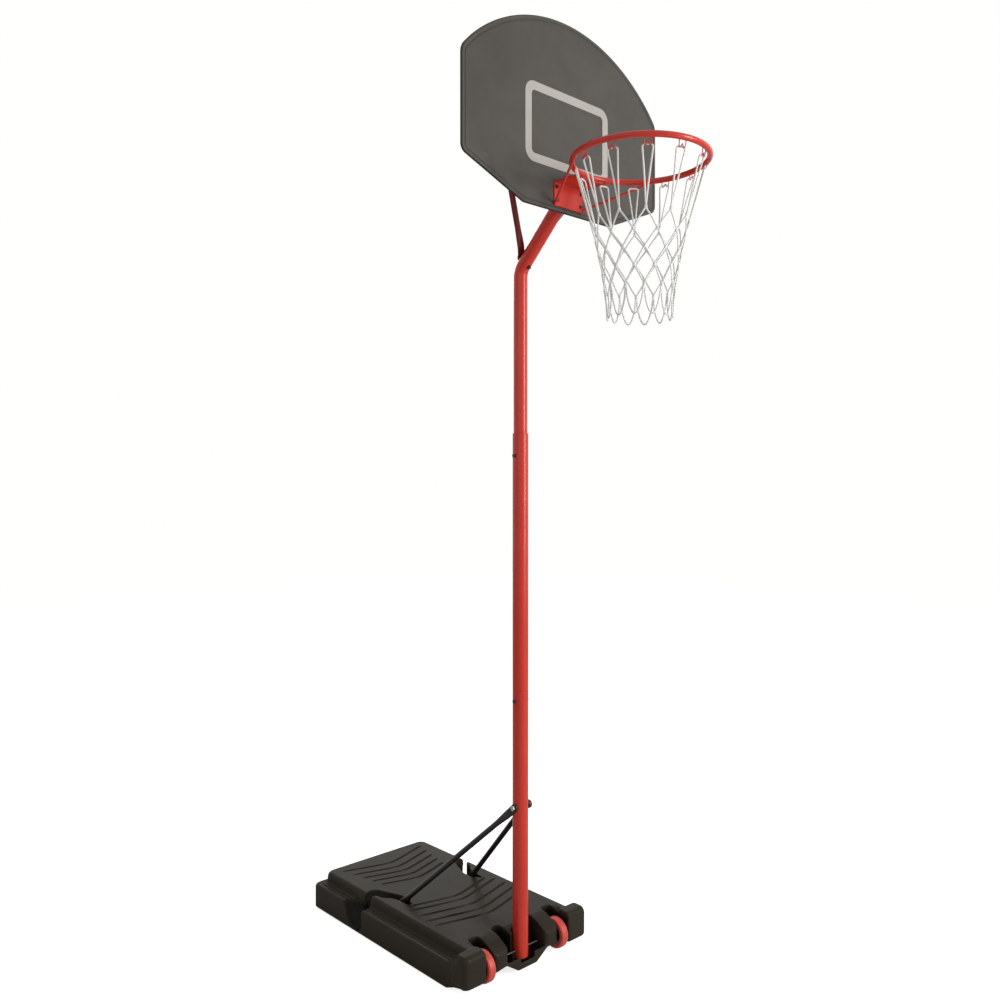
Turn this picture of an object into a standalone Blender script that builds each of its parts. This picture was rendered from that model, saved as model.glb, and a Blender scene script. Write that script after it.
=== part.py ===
"""Portable basketball stand: water tank with wheels, three-part pole, backboard, rim and net.

Metres, +Z up. The origin is on the floor under the middle of the tank, the board and the rim
face -Y and the tank reaches back to +Y. Sizes measured from the pole's axis go through py().
"""

import math

import bmesh
import bpy
import numpy as np
from mathutils import Vector

for old in list(bpy.data.objects):
    bpy.data.objects.remove(old, do_unlink=True)

# Driving dimensions (metres)
GAP = 0.0003  # air left between two pieces that would touch
# Tank
TANK_LENGTH = 0.721  # front faces of the lugs to the rear wall
TANK_WIDTH = 0.4468
DECK_Z = 0.103
LEDGE_Z = 0.072
POLE_SETBACK = 0.036  # pole axis behind the front faces of the lugs
FRONT_Z = 0.0215  # underside of the front, over the floor
LUG_IN = 0.153  # inner face of an outer lug
SLOT_IN = 0.118  # outer face of an inner lug
RECESS_HALF = 0.068
CHANNEL_Z = 0.046  # floor of a strut channel
GROOVE_R = 0.0032
# Wheels and axle
WHEEL_R = 0.0415
WHEEL_WIDTH = 0.024
AXLE_Z = 0.0455
AXLE_R = 0.004
# Pole
POLE_OD = 0.0424
POLE_WALL = 0.0015
UPPER_OD = 0.037
POLE_FOOT = 0.027
JOINT_Z = 0.744
MIDDLE_TOP = 1.431
UPPER_FOOT = 1.17
BEND_DROP = 0.1111  # from the board's foot down to where the two runs of the upper tube would meet
BEND_R = 0.05
# Struts and braces
STRUT_D = 0.015
STRUT_TOP_Z = 0.43
BRACE_D = 0.0155
BRACE_SHEET = 0.0034  # the flattened ends of a brace
BRACE_RISE = 0.005  # bolt of the braces beyond the end of the bend
BRACE_FLAT = 0.040  # from that bolt to where a brace leaves the tube
# Board
BOARD_HALF = 0.355
BOARD_APEX = 2.4528
BOARD_HEIGHT = 0.4773
BOARD_ARC = 0.468
BOARD_SHOULDER = 0.039  # rounding where the arc meets the upright sides
BOARD_SIDE_RISE = 0.0787  # from the board's foot up to the lower end of its upright sides
BOARD_FOOT_HALF = 0.158
BOARD_DEPTH = 0.010
BOARD_DRAFT = 0.0046  # lean of the outer wall, inward to the back
BOARD_BACK = 0.165  # back of the board in front of the pole axis
BOARD_WALL = 0.003
AIM_HALF = 0.1515
AIM_HEIGHT = 0.1957
AIM_RISE = 0.1054  # from the board's foot up to the rectangle
AIM_R = 0.030
AIM_BAND = 0.0213
# Rim and net
RIM_R = 0.1603
RIM_TUBE = 0.0071
RIM_RISE = 0.079  # from the board's foot up to the ring's centre
RIM_AHEAD = 0.4031  # centre of the rim in front of the pole axis
NET_DROP = 0.3725  # from the ring's centre down to the foot of the net
NET_FOOT_R = 0.0765
NET_WAIST_R = 0.115  # at the first row of knots
CORD = 0.0034

POLE_Y = -TANK_LENGTH / 2 + POLE_SETBACK
HALF = TANK_WIDTH / 2
REAR = TANK_LENGTH - POLE_SETBACK
POLE_R = POLE_OD / 2
UPPER_R = UPPER_OD / 2
BOARD_FOOT = BOARD_APEX - BOARD_HEIGHT
BEND_Z = BOARD_FOOT - BEND_DROP
BOARD_SIDE_Z = BOARD_FOOT + BOARD_SIDE_RISE
RIM_Z = BOARD_FOOT + RIM_RISE
NET_FOOT = RIM_Z - NET_DROP
RIM_CENTRE = (0.0, POLE_Y - RIM_AHEAD, RIM_Z)
BEND = math.radians(45)


def py(y):
    """Y in the shared frame of a distance behind the pole's axis."""
    return POLE_Y + y


# Materials
def material(name, colour, roughness, metallic=0.0, coat=0.0):
    made = bpy.data.materials.new(name)
    made.use_nodes = True
    shader = made.node_tree.nodes["Principled BSDF"]
    shader.inputs["Base Color"].default_value = (*colour, 1.0)
    shader.inputs["Roughness"].default_value = roughness
    shader.inputs["Metallic"].default_value = metallic
    shader.inputs["Coat Weight"].default_value = coat
    made.diffuse_color = (*colour, 1.0)
    return made


PAINT_RED = material("paint_red", (0.56, 0.05, 0.03), 0.35, coat=0.4)
PAINT_DARK = material("paint_dark_red", (0.22, 0.012, 0.012), 0.4, coat=0.3)
PAINT_BLACK = material("paint_black", (0.025, 0.024, 0.022), 0.4, coat=0.2)
TANK_PLASTIC = material("tank_plastic", (0.045, 0.042, 0.038), 0.5)
BOARD_PLASTIC = material("board_plastic", (0.095, 0.085, 0.075), 0.6)
BOARD_PRINT = material("board_print", (0.52, 0.48, 0.44), 0.6)
WHEEL_RED = material("wheel_red", (0.7, 0.08, 0.065), 0.45)
HUB_PLASTIC = material("hub_plastic", (0.03, 0.03, 0.03), 0.5)
STEEL = material("zinc_steel", (0.45, 0.45, 0.44), 0.35, metallic=1.0)
CAP_PLASTIC = material("cap_plastic", (0.02, 0.02, 0.02), 0.5)
RUBBER = material("bung_rubber", (0.018, 0.018, 0.018), 0.8)
NET_CORD = material("net_cord", (0.8, 0.79, 0.76), 0.85)


# Bodies
def body(name, points, faces, paint, at=(0, 0, 0), parent=None, sharp=35):
    """An object of this name with its origin at `at`, from points in the shared frame."""
    mesh = bpy.data.meshes.new(name)
    mesh.from_pydata((np.asarray(points, float) - at).tolist(), [], faces)
    bm = bmesh.new()
    bm.from_mesh(mesh)
    bmesh.ops.remove_doubles(bm, verts=bm.verts, dist=1e-6)
    bmesh.ops.recalc_face_normals(bm, faces=bm.faces)
    bm.to_mesh(mesh)
    bm.free()
    mesh.shade_smooth()
    mesh.set_sharp_from_angle(angle=math.radians(sharp))
    obj = bpy.data.objects.new(name, mesh)
    bpy.context.scene.collection.objects.link(obj)
    obj.location = Vector(at)
    if parent:
        obj.parent = parent
        obj.location -= parent.location
    if paint:
        mesh.materials.append(paint)
    return obj


def joined(parts):
    """Points and faces of several bodies as one list of each."""
    points, faces, count = [], [], 0
    for some, several in parts:
        points.append(np.asarray(some, float))
        faces += [tuple(i + count for i in face) for face in several]
        count += len(some)
    return np.vstack(points), faces


def loft(rings, wrap=False):
    """A closed body through rings of equal length. With wrap the last ring meets the first."""
    many, n = len(rings), len(rings[0])
    faces = []
    for i in range(many if wrap else many - 1):
        k = (i + 1) % many
        for j in range(n):
            h = (j + 1) % n
            faces.append((i * n + j, i * n + h, k * n + h, k * n + j))
    if not wrap:
        faces += [tuple(range(n))[::-1], tuple(range((many - 1) * n, many * n))]
    return np.vstack(rings), faces


def axes_of(axis):
    """Rows are a right-handed frame whose third axis is the given one."""
    z = np.array(axis, float) / np.linalg.norm(axis)
    x = np.cross([0, 0, 1.0], z)
    x = np.array([1.0, 0, 0]) if np.linalg.norm(x) < 1e-6 else x / np.linalg.norm(x)
    return np.stack([x, np.cross(z, x), z])


def circle(radius, height, steps, hexagon=False):
    """A ring of points; a hexagon has a point at each corner and at the middle of each side."""
    turn = np.arange(steps) * 2 * math.pi / steps
    r = np.full(steps, float(radius))
    if hexagon:
        r[1::2] *= math.cos(math.pi / 6)
    return np.stack([r * np.cos(turn), r * np.sin(turn), np.full(steps, float(height))], 1)


def turned(profile, at, axis, steps=24, wrap=False):
    """A body turned from (radius, height) pairs about an axis through `at`."""
    rings = [circle(max(r, 1e-9), h, steps) for r, h in profile]
    points, faces = loft(rings, wrap)
    return np.asarray(at, float) + points @ axes_of(axis), faces


def prism(outline, low, high, axis="z"):
    """An outline of pairs pulled from low to high along an axis."""
    place = {"z": lambda a, b, h: (a, b, h), "y": lambda a, b, h: (a, h, b), "x": lambda a, b, h: (h, a, b)}
    rings = [np.array([place[axis](a, b, h) for a, b in outline]) for h in (low, high)]
    return loft(rings)


def block(low, high):
    outline = [(low[0], low[1]), (high[0], low[1]), (high[0], high[1]), (low[0], high[1])]
    return prism(outline, low[2], high[2])


def round_corners(corners, steps=4):
    """An outline from (a, b, radius) corners, each rounded by an arc of that radius."""
    out = []
    for i, (a, b, radius) in enumerate(corners):
        here = np.array([a, b])
        back = np.array(corners[i - 1][:2]) - here
        ahead = np.array(corners[(i + 1) % len(corners)][:2]) - here
        if radius <= 0:
            out.append(here)
            continue
        back, ahead = back / np.linalg.norm(back), ahead / np.linalg.norm(ahead)
        half = math.acos(max(-1.0, min(1.0, float(back @ ahead)))) / 2
        middle = here + (back + ahead) / np.linalg.norm(back + ahead) * radius / math.sin(half)
        first = here + back * radius / math.tan(half) - middle
        last = here + ahead * radius / math.tan(half) - middle
        sweep = math.atan2(first[0] * last[1] - first[1] * last[0], first @ last)
        for k in range(steps + 1):
            c, s = math.cos(sweep * k / steps), math.sin(sweep * k / steps)
            out.append(middle + (first[0] * c - first[1] * s, first[0] * s + first[1] * c))
    return [tuple(p) for p in out]


def inset(outline, distance):
    """A convex, anticlockwise outline moved inward by a distance."""
    pts = np.array(outline)
    side = np.roll(pts, -1, 0) - pts
    side /= np.linalg.norm(side, axis=1)[:, None]
    inward = np.stack([-side[:, 1], side[:, 0]], 1)
    both = inward + np.roll(inward, 1, 0)
    both /= (both * both).sum(1)[:, None] / 2
    return [tuple(p) for p in pts + both * distance]


def cutter(name, shape):
    obj = body(name, *shape, None)
    obj.hide_render = True
    obj.display_type = "WIRE"
    return obj


def combine(obj, other, operation):
    step = obj.modifiers.new(f"{operation.lower()} {other.name}", "BOOLEAN")
    step.operation, step.solver, step.object = operation, "EXACT", other


def cut(obj, name, shape):
    combine(obj, cutter(name, shape), "DIFFERENCE")


def add(obj, name, shape):
    combine(obj, cutter(name, shape), "UNION")


def mirrored(shape):
    points, faces = shape
    return points * (-1, 1, 1), faces


def both_sides(shape):
    return joined([shape, mirrored(shape)])


def hole(at, axis, radius, low, high, steps=20):
    return turned([(radius, low), (radius, high)], at, axis, steps)


# Empties on the joint axes
def joint_empty(name, at):
    empty = bpy.data.objects.new(name, None)
    bpy.context.scene.collection.objects.link(empty)
    empty.location = at
    return empty


# Fastenings
def bolt(name, at, axis, grip, radius, paint=STEEL, head=None, height=None, parent=None):
    """A hexagon bolt: the head's bearing face is at `at`, the shank runs `grip` along the axis."""
    head, height = head or radius * 1.75, height or radius * 1.3
    rings = [circle(head * 0.86, -height, 12), circle(head, -height * 0.85, 12, True)]
    rings += [circle(head, 0, 12, True), circle(radius, 0, 12), circle(radius, grip, 12)]
    points, faces = loft(rings)
    return body(name, np.asarray(at, float) + points @ axes_of(axis), faces, paint, at, parent)


def nut(name, at, axis, radius, height, paint=STEEL, parent=None):
    """A hexagon nut on a shank of this radius, its bearing face at `at`."""
    wide, bore = radius * 1.8, radius + GAP
    rings = [circle(bore, 0, 12), circle(wide, 0, 12, True), circle(wide, height * 0.85, 12, True)]
    rings += [circle(wide * 0.86, height, 12), circle(bore, height, 12)]
    points, faces = loft(rings, wrap=True)
    return body(name, np.asarray(at, float) + points @ axes_of(axis), faces, paint, at, parent)


def cap_nut(name, at, axis, bore, wide, height, depth, parent=None):
    """A round moulded cap with a blind bore, for the open end of a bolt."""
    turn = np.linspace(0, math.pi / 2, 5)
    profile = [(wide * math.sin(t), height * (0.45 + 0.55 * math.cos(t))) for t in turn]
    profile += [(wide, height * 0.1), (wide * 0.94, 0), (bore, 0), (bore, depth), (0, depth)]
    return body(name, *turned(profile, at, axis, 20), CAP_PLASTIC, at, parent)


# Tank: levels of (height, way in from the side wall)
TANK_LEVELS = [
    (0.0, 0.005), (0.0045, 0.0), (0.0, None), (0.0, 0.007), (0.0, 0.0135), (-0.0028, 0.0165), (0.0, 0.0195),
    (0.0014, 0.0222), (-0.0012, 0.0262), (0.0015, 0.0305),
]


def tank_level(z, side):
    """One level of the tank: wide ledges at the sides, a narrow one at the rear, none in front."""
    front, rear = py(-0.030 + side * 0.12), py(REAR - side * 0.47)
    wide = HALF - side
    corners = [(wide, front, 0.004), (wide, rear, 0.019), (-wide, rear, 0.019), (-wide, front, 0.004)]
    return np.array([(x, y, z) for x, y in round_corners(corners)])


levels = [(0.0, 0.005), (0.0045, 0.0), (LEDGE_Z - 0.006, 0.0), (LEDGE_Z - 0.0018, 0.0022)]
levels += [(LEDGE_Z + lift, side) for lift, side in TANK_LEVELS[3:]]
levels += [(LEDGE_Z + 0.008, 0.0325), (DECK_Z - 0.0085, 0.0345), (DECK_Z - 0.0028, 0.0372), (DECK_Z, 0.0435)]
tank = body("tank", *loft([tank_level(z, side) for z, side in levels]), TANK_PLASTIC)

# Outer lugs: blocks with rounded top-front edges beside the wheels
LUG_TOP = DECK_Z + 0.001
LUG_OUT = HALF + 0.003
# The hollow curve from an outer lug's top down to the ledge: (y, share of the rise)
SWEEP = [(0.0050, 1.0), (0.0090, 0.93), (0.0145, 0.66), (0.0195, 0.46)]


def lug_ring(x, shrink):
    low, top, front, back = FRONT_Z + shrink, LUG_TOP - shrink, -POLE_SETBACK + shrink, 0.026 - shrink
    corners = [(front, low, 0.006), (back, low, 0.001), (back, LEDGE_Z + 0.0095 - shrink, 0.001)]
    corners += [(y - shrink, LEDGE_Z + (LUG_TOP - LEDGE_Z) * rise - shrink, 0) for y, rise in SWEEP[::-1]]
    corners += [(front, top, 0.014)]
    return np.array([(x, py(y), z) for y, z in round_corners(corners)])


lug = loft([lug_ring(x, s) for x, s in (
    (LUG_IN, 0.0), (LUG_OUT - 0.009, 0.0), (LUG_OUT - 0.0035, 0.002), (LUG_OUT, 0.007))])
# The slope of the inner lugs, between the wheels
slope = [(-0.06, 0.028), (-0.0300, 0.034), (-0.0290, 0.048), (-0.0245, 0.060), (-0.0160, 0.0705),
         (-0.0020, 0.0815), (0.0140, 0.0925), (0.0260, 0.0990), (0.0380, 0.1027), (0.0480, DECK_Z + 0.0005),
         (0.048, 0.13), (-0.06, 0.13)]
cut(tank, "front_slope", prism([(py(y), z) for y, z in slope], -LUG_IN - 0.01, LUG_IN + 0.01, "x"))
# The raised underside of the front, with a keel under the pole
belly = [(-0.26, FRONT_Z), (-LUG_IN, FRONT_Z), (-SLOT_IN, 0.0300), (-0.0760, 0.0350), (-0.0340, 0.0077)]
belly += [(-x, z) for x, z in belly[::-1]]
belly = [(-0.26, -0.02)] + belly + [(0.26, -0.02)]
cut(tank, "front_belly", loft([
    np.array([(x, py(y), -0.02 if z < 0 else z * share - (0.001 if share == 0 else 0)) for x, z in belly])
    for y, share in ((-0.07, 1.0), (-0.012, 1.0), (0.014, 0.72), (0.045, 0.12), (0.074, 0.0))]))

add(tank, "lug_blocks", both_sides(lug))
sweep = [(0.0180, 0.505), (0.0250, 0.30), (0.0340, 0.14), (0.0440, 0.045), (0.0540, -0.02)]
sweep_side = [(py(y), LEDGE_Z + (LUG_TOP - LEDGE_Z) * rise) for y, rise in sweep]
sweep_side += [(py(0.0540), LEDGE_Z - 0.006), (py(0.0180), LEDGE_Z - 0.006)]
add(tank, "lug_sweeps", both_sides(prism(sweep_side, LUG_IN + 0.004, HALF - 0.0035, "x")))


# Wheel wells and the slots over them
def well_ring(x):
    arc = [(0.0465 * math.cos(t), AXLE_Z + 0.0465 * math.sin(t)) for t in np.linspace(0, 0.62, 4)]
    pts = [(-0.07, -0.02), (0.0465, -0.02)] + arc + [(0.0378, 0.0780), (-0.07, 0.0780)]
    return np.array([(x, py(y), z) for y, z in pts])


cut(tank, "wheel_wells", both_sides(loft([well_ring(SLOT_IN), well_ring(LUG_IN + 0.0002)])))
slot = round_corners([(SLOT_IN - 0.0002, py(-0.07), 0), (LUG_IN + 0.0004, py(-0.07), 0),
                      (LUG_IN + 0.0004, py(0.0382), 0.0125), (SLOT_IN - 0.0002, py(0.0382), 0.0125)])
cut(tank, "wheel_slots", both_sides(prism(slot, 0.07, 0.13)))

# Recess round the pole's foot: a tray behind the keel plate with an arm on each side, and the pole's seat
SEAT_R = POLE_R + 0.0022
HORN = SEAT_R + 0.0115
FLOOR_Z = 0.0145
KEEL = 0.004
arm = [(RECESS_HALF, py(-0.030 + KEEL), 0), (RECESS_HALF, py(0.053), 0.012), (HORN, py(0.053), 0.012),
       (HORN, py(-0.004), 0)]
yoke = arm + [(-x, y, radius) for x, y, radius in arm[::-1]]
recess = cutter("pole_recess", prism(round_corners(yoke), FLOOR_Z + 0.0002, 0.13))
cut(recess, "recess_rise", prism([(x, z + 0.003) for x, z in belly], py(-0.07), py(0.08), "y"))
combine(tank, recess, "DIFFERENCE")
seat = [(-SEAT_R, py(-0.0255)), (SEAT_R, py(-0.0255))]
seat += [(SEAT_R * math.cos(t), py(SEAT_R * math.sin(t))) for t in np.linspace(0, math.pi, 13)]
cut(tank, "pole_seat", prism(seat, FLOOR_Z, 0.13))
cut(tank, "front_opening", block((-0.0685, py(-0.07), 0.040), (0.0685, py(-0.024), 0.13)))
cut(tank, "keel_notch", block((-0.025, py(-0.07), 0.025), (0.025, py(-0.020), 0.06)))

# Channels for the strut feet, open to the sides
channel = round_corners([
    (0.180, py(0.468), 0), (0.162, py(0.469), 0.008), (0.142, py(0.451), 0.006), (0.1162, py(0.372), 0.02),
    (0.1162, py(0.327), 0.009), (0.1405, py(0.327), 0.009), (0.1430, py(0.360), 0.02),
    (0.1500, py(0.380), 0.008),
    (0.170, py(0.398), 0.006), (0.180, py(0.410), 0)], 3)
cut(tank, "strut_channels", both_sides(prism(channel, CHANNEL_Z, 0.13)))
mouth = [(0.170, py(0.401)), (0.189, py(0.427)), (0.25, py(0.4275)), (0.25, py(0.4675)), (0.170, py(0.4675))]
cut(tank, "channel_mouths", both_sides(prism(mouth, LEDGE_Z - 0.001, 0.13)))
cut(tank, "front_slits", both_sides(prism(
    round_corners([(0.1225, py(0.34), 0), (0.1305, py(0.309), 0.003), (0.1390, py(0.309), 0.003),
                   (0.1400, py(0.34), 0)], 2),
    DECK_Z - 0.010, 0.13)))


# Hand holds: tapered half rounds in the side walls
def scoop_ring(z, centre, reach, depth):
    turn = np.linspace(0, 2 * math.pi, 21)[:-1]
    return np.stack([HALF + depth * np.cos(turn), py(centre) + reach * np.sin(turn), np.full(20, z)], 1)


scoop = loft([scoop_ring(0.0100, 0.4580, 0.018, 0.006), scoop_ring(0.0135, 0.4580, 0.0275, 0.0125),
              scoop_ring(0.080, 0.4775, 0.0465, 0.0275)])
cut(tank, "hand_holds", both_sides(scoop))


# Grip grooves across the deck, each a shallow V that points to the front
def groove(half, centre, slope_):
    """A round-bottomed groove through y = centre + slope * (sqrt(x^2 + w^2) - w) over |x| < half."""
    w, rings = 0.030, []
    for x in np.linspace(-half, half, 9):
        y = centre + slope_ * (math.sqrt(x * x + w * w) - w)
        lean = slope_ * x / math.sqrt(x * x + w * w)
        across = np.array([-lean, 1.0]) / math.hypot(lean, 1.0)
        small = 0.35 if abs(x) > half * 0.99 else 1.0
        turn = (np.arange(5) + 0.25) * 2 * math.pi / 5
        rings.append(np.array([(x + across[0] * GROOVE_R * small * math.cos(t),
                                py(y) + across[1] * GROOVE_R * small * math.cos(t),
                                DECK_Z + 0.0002 + GROOVE_R * small * math.sin(t)) for t in turn]))
    return loft(rings)


REAR_SET = [(0.1527, 0.587), (0.1430, 0.548), (0.1340, 0.512), (0.1265, 0.477), (0.1190, 0.442)]
FRONT_SET = [(0.1430, 0.2665), (0.1600, 0.238), (0.1650, 0.196), (0.1690, 0.157), (0.1640, 0.122)]
grooves = [groove(h, y, 0.33) for h, y in REAR_SET] + [groove(h, y, 0.28) for h, y in FRONT_SET]
cut(tank, "grip_grooves", joined(grooves))

# Bores: the axle's is open at the right for fitting, with a cap; the bung's and foot bolts' are blind
AXLE_END = LUG_IN + 0.032
cut(tank, "axle_bore", hole((0, POLE_Y, AXLE_Z), (1, 0, 0), AXLE_R + GAP, -AXLE_END - GAP, 0.26, 12))
cut(tank, "axle_counterbore", hole((0, POLE_Y, AXLE_Z), (1, 0, 0), 0.0085 + GAP, LUG_OUT - 0.005, 0.26))
BUNG_AT = (0.085, py(REAR), 0.046)
cut(tank, "bung_pocket", hole((BUNG_AT[0], BUNG_AT[1], BUNG_AT[2]), (0, 1, 0), 0.027, -0.013, 0.03, 24))
cut(tank, "bung_bore", hole(BUNG_AT, (0, 1, 0), 0.0150 + GAP, -0.032, 0.03, 24))
FOOT = (0.1360, 0.379, 0.068)
foot_bore = hole((FOOT[0], py(FOOT[1]), FOOT[2]), (-1, 0, 0), 0.003 + GAP, -0.001, 0.034, 16)
cut(tank, "foot_bores", both_sides(foot_bore))

# Filler bung at the rear (not seen in the photograph)
bung_axis = joint_empty("bung_axis", BUNG_AT)
body("filler_bung", *turned([(0, -0.0005), (0.0215, -0.0005), (0.0230, -0.002), (0.0230, -0.0060),
                             (0.0215, -0.0075),
                             (0.0215, -0.0130 + GAP), (0.0150, -0.0130 + GAP), (0.0142, -0.030), (0, -0.030)],
                            BUNG_AT, (0, 1, 0), 16), RUBBER, BUNG_AT, bung_axis)

# Axle, its cap and the wheels
AXLE_AT = (0.0, POLE_Y, AXLE_Z)
axle_ends = (-AXLE_END, LUG_OUT - 0.005 - 0.002)
axle_side = [(AXLE_R * 0.8, axle_ends[0]), (AXLE_R, axle_ends[0] + 0.001), (AXLE_R, axle_ends[1] - 0.001),
             (AXLE_R * 0.8, axle_ends[1])]
body("axle", *turned(axle_side, AXLE_AT, (1, 0, 0), 12), STEEL, AXLE_AT)
cap_side = [(0.0085, LUG_OUT - 0.005 + GAP), (0.0085, LUG_OUT - 0.0012), (0.0065, LUG_OUT - 0.0003)]
body("axle_cap", *turned(cap_side, AXLE_AT, (1, 0, 0), 16), CAP_PLASTIC, AXLE_AT)
for side, sign in (("left", -1), ("right", 1)):
    centre = (sign * (SLOT_IN + LUG_IN) / 2, POLE_Y, AXLE_Z)
    pin = joint_empty(f"wheel_axis_{side}", centre)
    half, bore, felloe = WHEEL_WIDTH / 2, AXLE_R + GAP, WHEEL_R * 0.66
    hub = [(bore, -half), (0.0095, -half), (0.0095, -half * 0.4), (felloe - 0.003, -half * 0.4),
           (felloe, -half * 0.9)]
    hub += [(r, -h) for r, h in hub[::-1]]
    body(f"wheel_hub_{side}", *turned(hub, centre, (1, 0, 0), 16, wrap=True), HUB_PLASTIC, centre, pin)
    edge = 0.0062
    tread = [(WHEEL_R - edge + edge * math.cos(t), (half - edge) * math.copysign(1, t) + edge * math.sin(t))
             for t in (-1.571, -0.785, -0.001, 0.001, 0.785, 1.571)]
    tyre = [(felloe + GAP, -half + 0.0015)] + tread + [(felloe + GAP, half - 0.0015)]
    body(f"wheel_tyre_{side}", *turned(tyre, centre, (1, 0, 0), 24, wrap=True), WHEEL_RED, centre, pin)

# Lower and middle tube of the pole
POLE_IN = POLE_R - POLE_WALL
SPIGOT_R = POLE_IN - GAP
lower = [(POLE_R, POLE_FOOT), (POLE_R, JOINT_Z - GAP), (POLE_IN, JOINT_Z - GAP), (POLE_IN, POLE_FOOT)]
pole_lower = body("pole_lower", *turned(lower, (0, POLE_Y, 0), (0, 0, 1), 20, wrap=True), PAINT_RED,
                  (0, POLE_Y, POLE_FOOT))
middle = [(SPIGOT_R, JOINT_Z - 0.084), (SPIGOT_R, JOINT_Z), (POLE_R - 0.0008, JOINT_Z),
          (POLE_R, JOINT_Z + 0.001), (POLE_R, MIDDLE_TOP - 0.001), (POLE_R - 0.0006, MIDDLE_TOP),
          (POLE_IN, MIDDLE_TOP), (POLE_IN, JOINT_Z + 0.010),
          (SPIGOT_R - POLE_WALL, JOINT_Z + 0.002), (SPIGOT_R - POLE_WALL, JOINT_Z - 0.084)]
pole_middle = body("pole_middle", *turned(middle, (0, POLE_Y, 0), (0, 0, 1), 20, wrap=True), PAINT_RED,
                   (0, POLE_Y, JOINT_Z))
JOINT_BOLT_Z = JOINT_Z - 0.028
STRUT_BOLT_R = 0.004
for name, obj, z, r in (("axle_hole", pole_lower, AXLE_Z, AXLE_R),
                        ("strut_hole", pole_lower, STRUT_TOP_Z, STRUT_BOLT_R),
                        ("joint_hole", pole_lower, JOINT_BOLT_Z, 0.003),
                        ("spigot_hole", pole_middle, JOINT_BOLT_Z, 0.003)):
    cut(obj, name, hole((0, POLE_Y, z), (1, 0, 0), r + GAP, -0.03, 0.03, 16))
bolt("pole_joint_bolt", (-POLE_R - GAP, POLE_Y, JOINT_BOLT_Z), (1, 0, 0), 2 * POLE_R + 0.0075, 0.003)
nut("pole_joint_nut", (POLE_R + GAP, POLE_Y, JOINT_BOLT_Z), (1, 0, 0), 0.003, 0.005)
HEIGHT_SCREW_Z = MIDDLE_TOP - 0.060
cut(pole_middle, "height_hole", hole((0, POLE_Y, HEIGHT_SCREW_Z), (-1, 0, 0), 0.003 + GAP, 0.005, 0.03, 16))
bolt("height_screw", (-POLE_R - 0.0005, POLE_Y, HEIGHT_SCREW_Z), (1, 0, 0),
     POLE_R - UPPER_R + 0.0005 - GAP, 0.003,
     paint=CAP_PLASTIC, head=0.0072, height=0.006)

# Upper tube: straight, a bend and a slope up to a welded plate on the board's back
mast = joint_empty("mast_slide", (0, POLE_Y, MIDDLE_TOP))
PLATE = 0.003
BACK = -BOARD_BACK
plate_low, plate_top, plate_half = BOARD_FOOT + 0.0095, BOARD_FOOT + 0.0885, 0.055


def upper_rings(radius, foot, end, steps=20):
    """Rings along the bent axis; the last one is cut upright at y = end."""
    turn = np.arange(steps) * 2 * math.pi / steps
    tangent = BEND_R * math.tan(BEND / 2)
    stations = [(0.0, foot, 0.0)]
    for k in range(7):
        a = BEND * k / 6
        stations.append((-BEND_R * (1 - math.cos(a)), BEND_Z - tangent + BEND_R * math.sin(a), a))
    rings = []
    for y, z, a in stations:
        across = np.array([0.0, math.cos(a), math.sin(a)])
        around = np.outer(np.cos(turn), [1.0, 0, 0]) + np.outer(np.sin(turn), across)
        ring = np.array([0.0, y, z]) + radius * around
        rings.append(ring)
    along = np.array([0.0, -math.sin(BEND), math.cos(BEND)])
    rings.append(rings[-1] + np.outer((end - rings[-1][:, 1]) / along[1], along))
    return [ring + (0, POLE_Y, 0) for ring in rings]


def mast_origin(z=MIDDLE_TOP):
    return (0, POLE_Y, z)


pole_upper = body("pole_upper", *loft(upper_rings(UPPER_R, UPPER_FOOT, BACK + PLATE * 0.6)), PAINT_RED,
                  mast_origin(), mast)
plate = round_corners([(-plate_half, plate_low, 0.006), (plate_half, plate_low, 0.006),
                       (plate_half, plate_top, 0.006), (-plate_half, plate_top, 0.006)], 3)
add(pole_upper, "board_plate", prism(plate, py(BACK + GAP), py(BACK + PLATE), "y"))
cut(pole_upper, "upper_bore", loft(upper_rings(UPPER_R - POLE_WALL, UPPER_FOOT - 0.02, BACK + PLATE * 1.02)))
BOLT_PAIRS = ((0.0435, BOARD_FOOT + 0.0275), (0.0450, BOARD_FOOT + 0.0605))
BOLTS = [(sign * x, z) for x, z in BOLT_PAIRS for sign in (-1, 1)]
BOLT_R = 0.003
plate_holes = joined([hole((x, POLE_Y, z), (0, -1, 0), BOLT_R + GAP, 0.13, 0.20, 12) for x, z in BOLTS])
cut(pole_upper, "plate_holes", plate_holes)
SLOPE = np.array([0.0, -math.sin(BEND), math.cos(BEND)])
SLOPE_UP = np.array([0.0, math.cos(BEND), math.sin(BEND)])  # square to the sloping run, to its upper side
bend_end = (0.0, py(-BEND_R * (1 - math.cos(BEND))), BEND_Z + BEND_R * (math.sin(BEND) - math.tan(BEND / 2)))
BRACE_AT = np.array(bend_end) + SLOPE * BRACE_RISE
cut(pole_upper, "brace_hole", hole(BRACE_AT, SLOPE_UP, STRUT_BOLT_R + GAP, -0.03, 0.03, 16))


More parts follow.
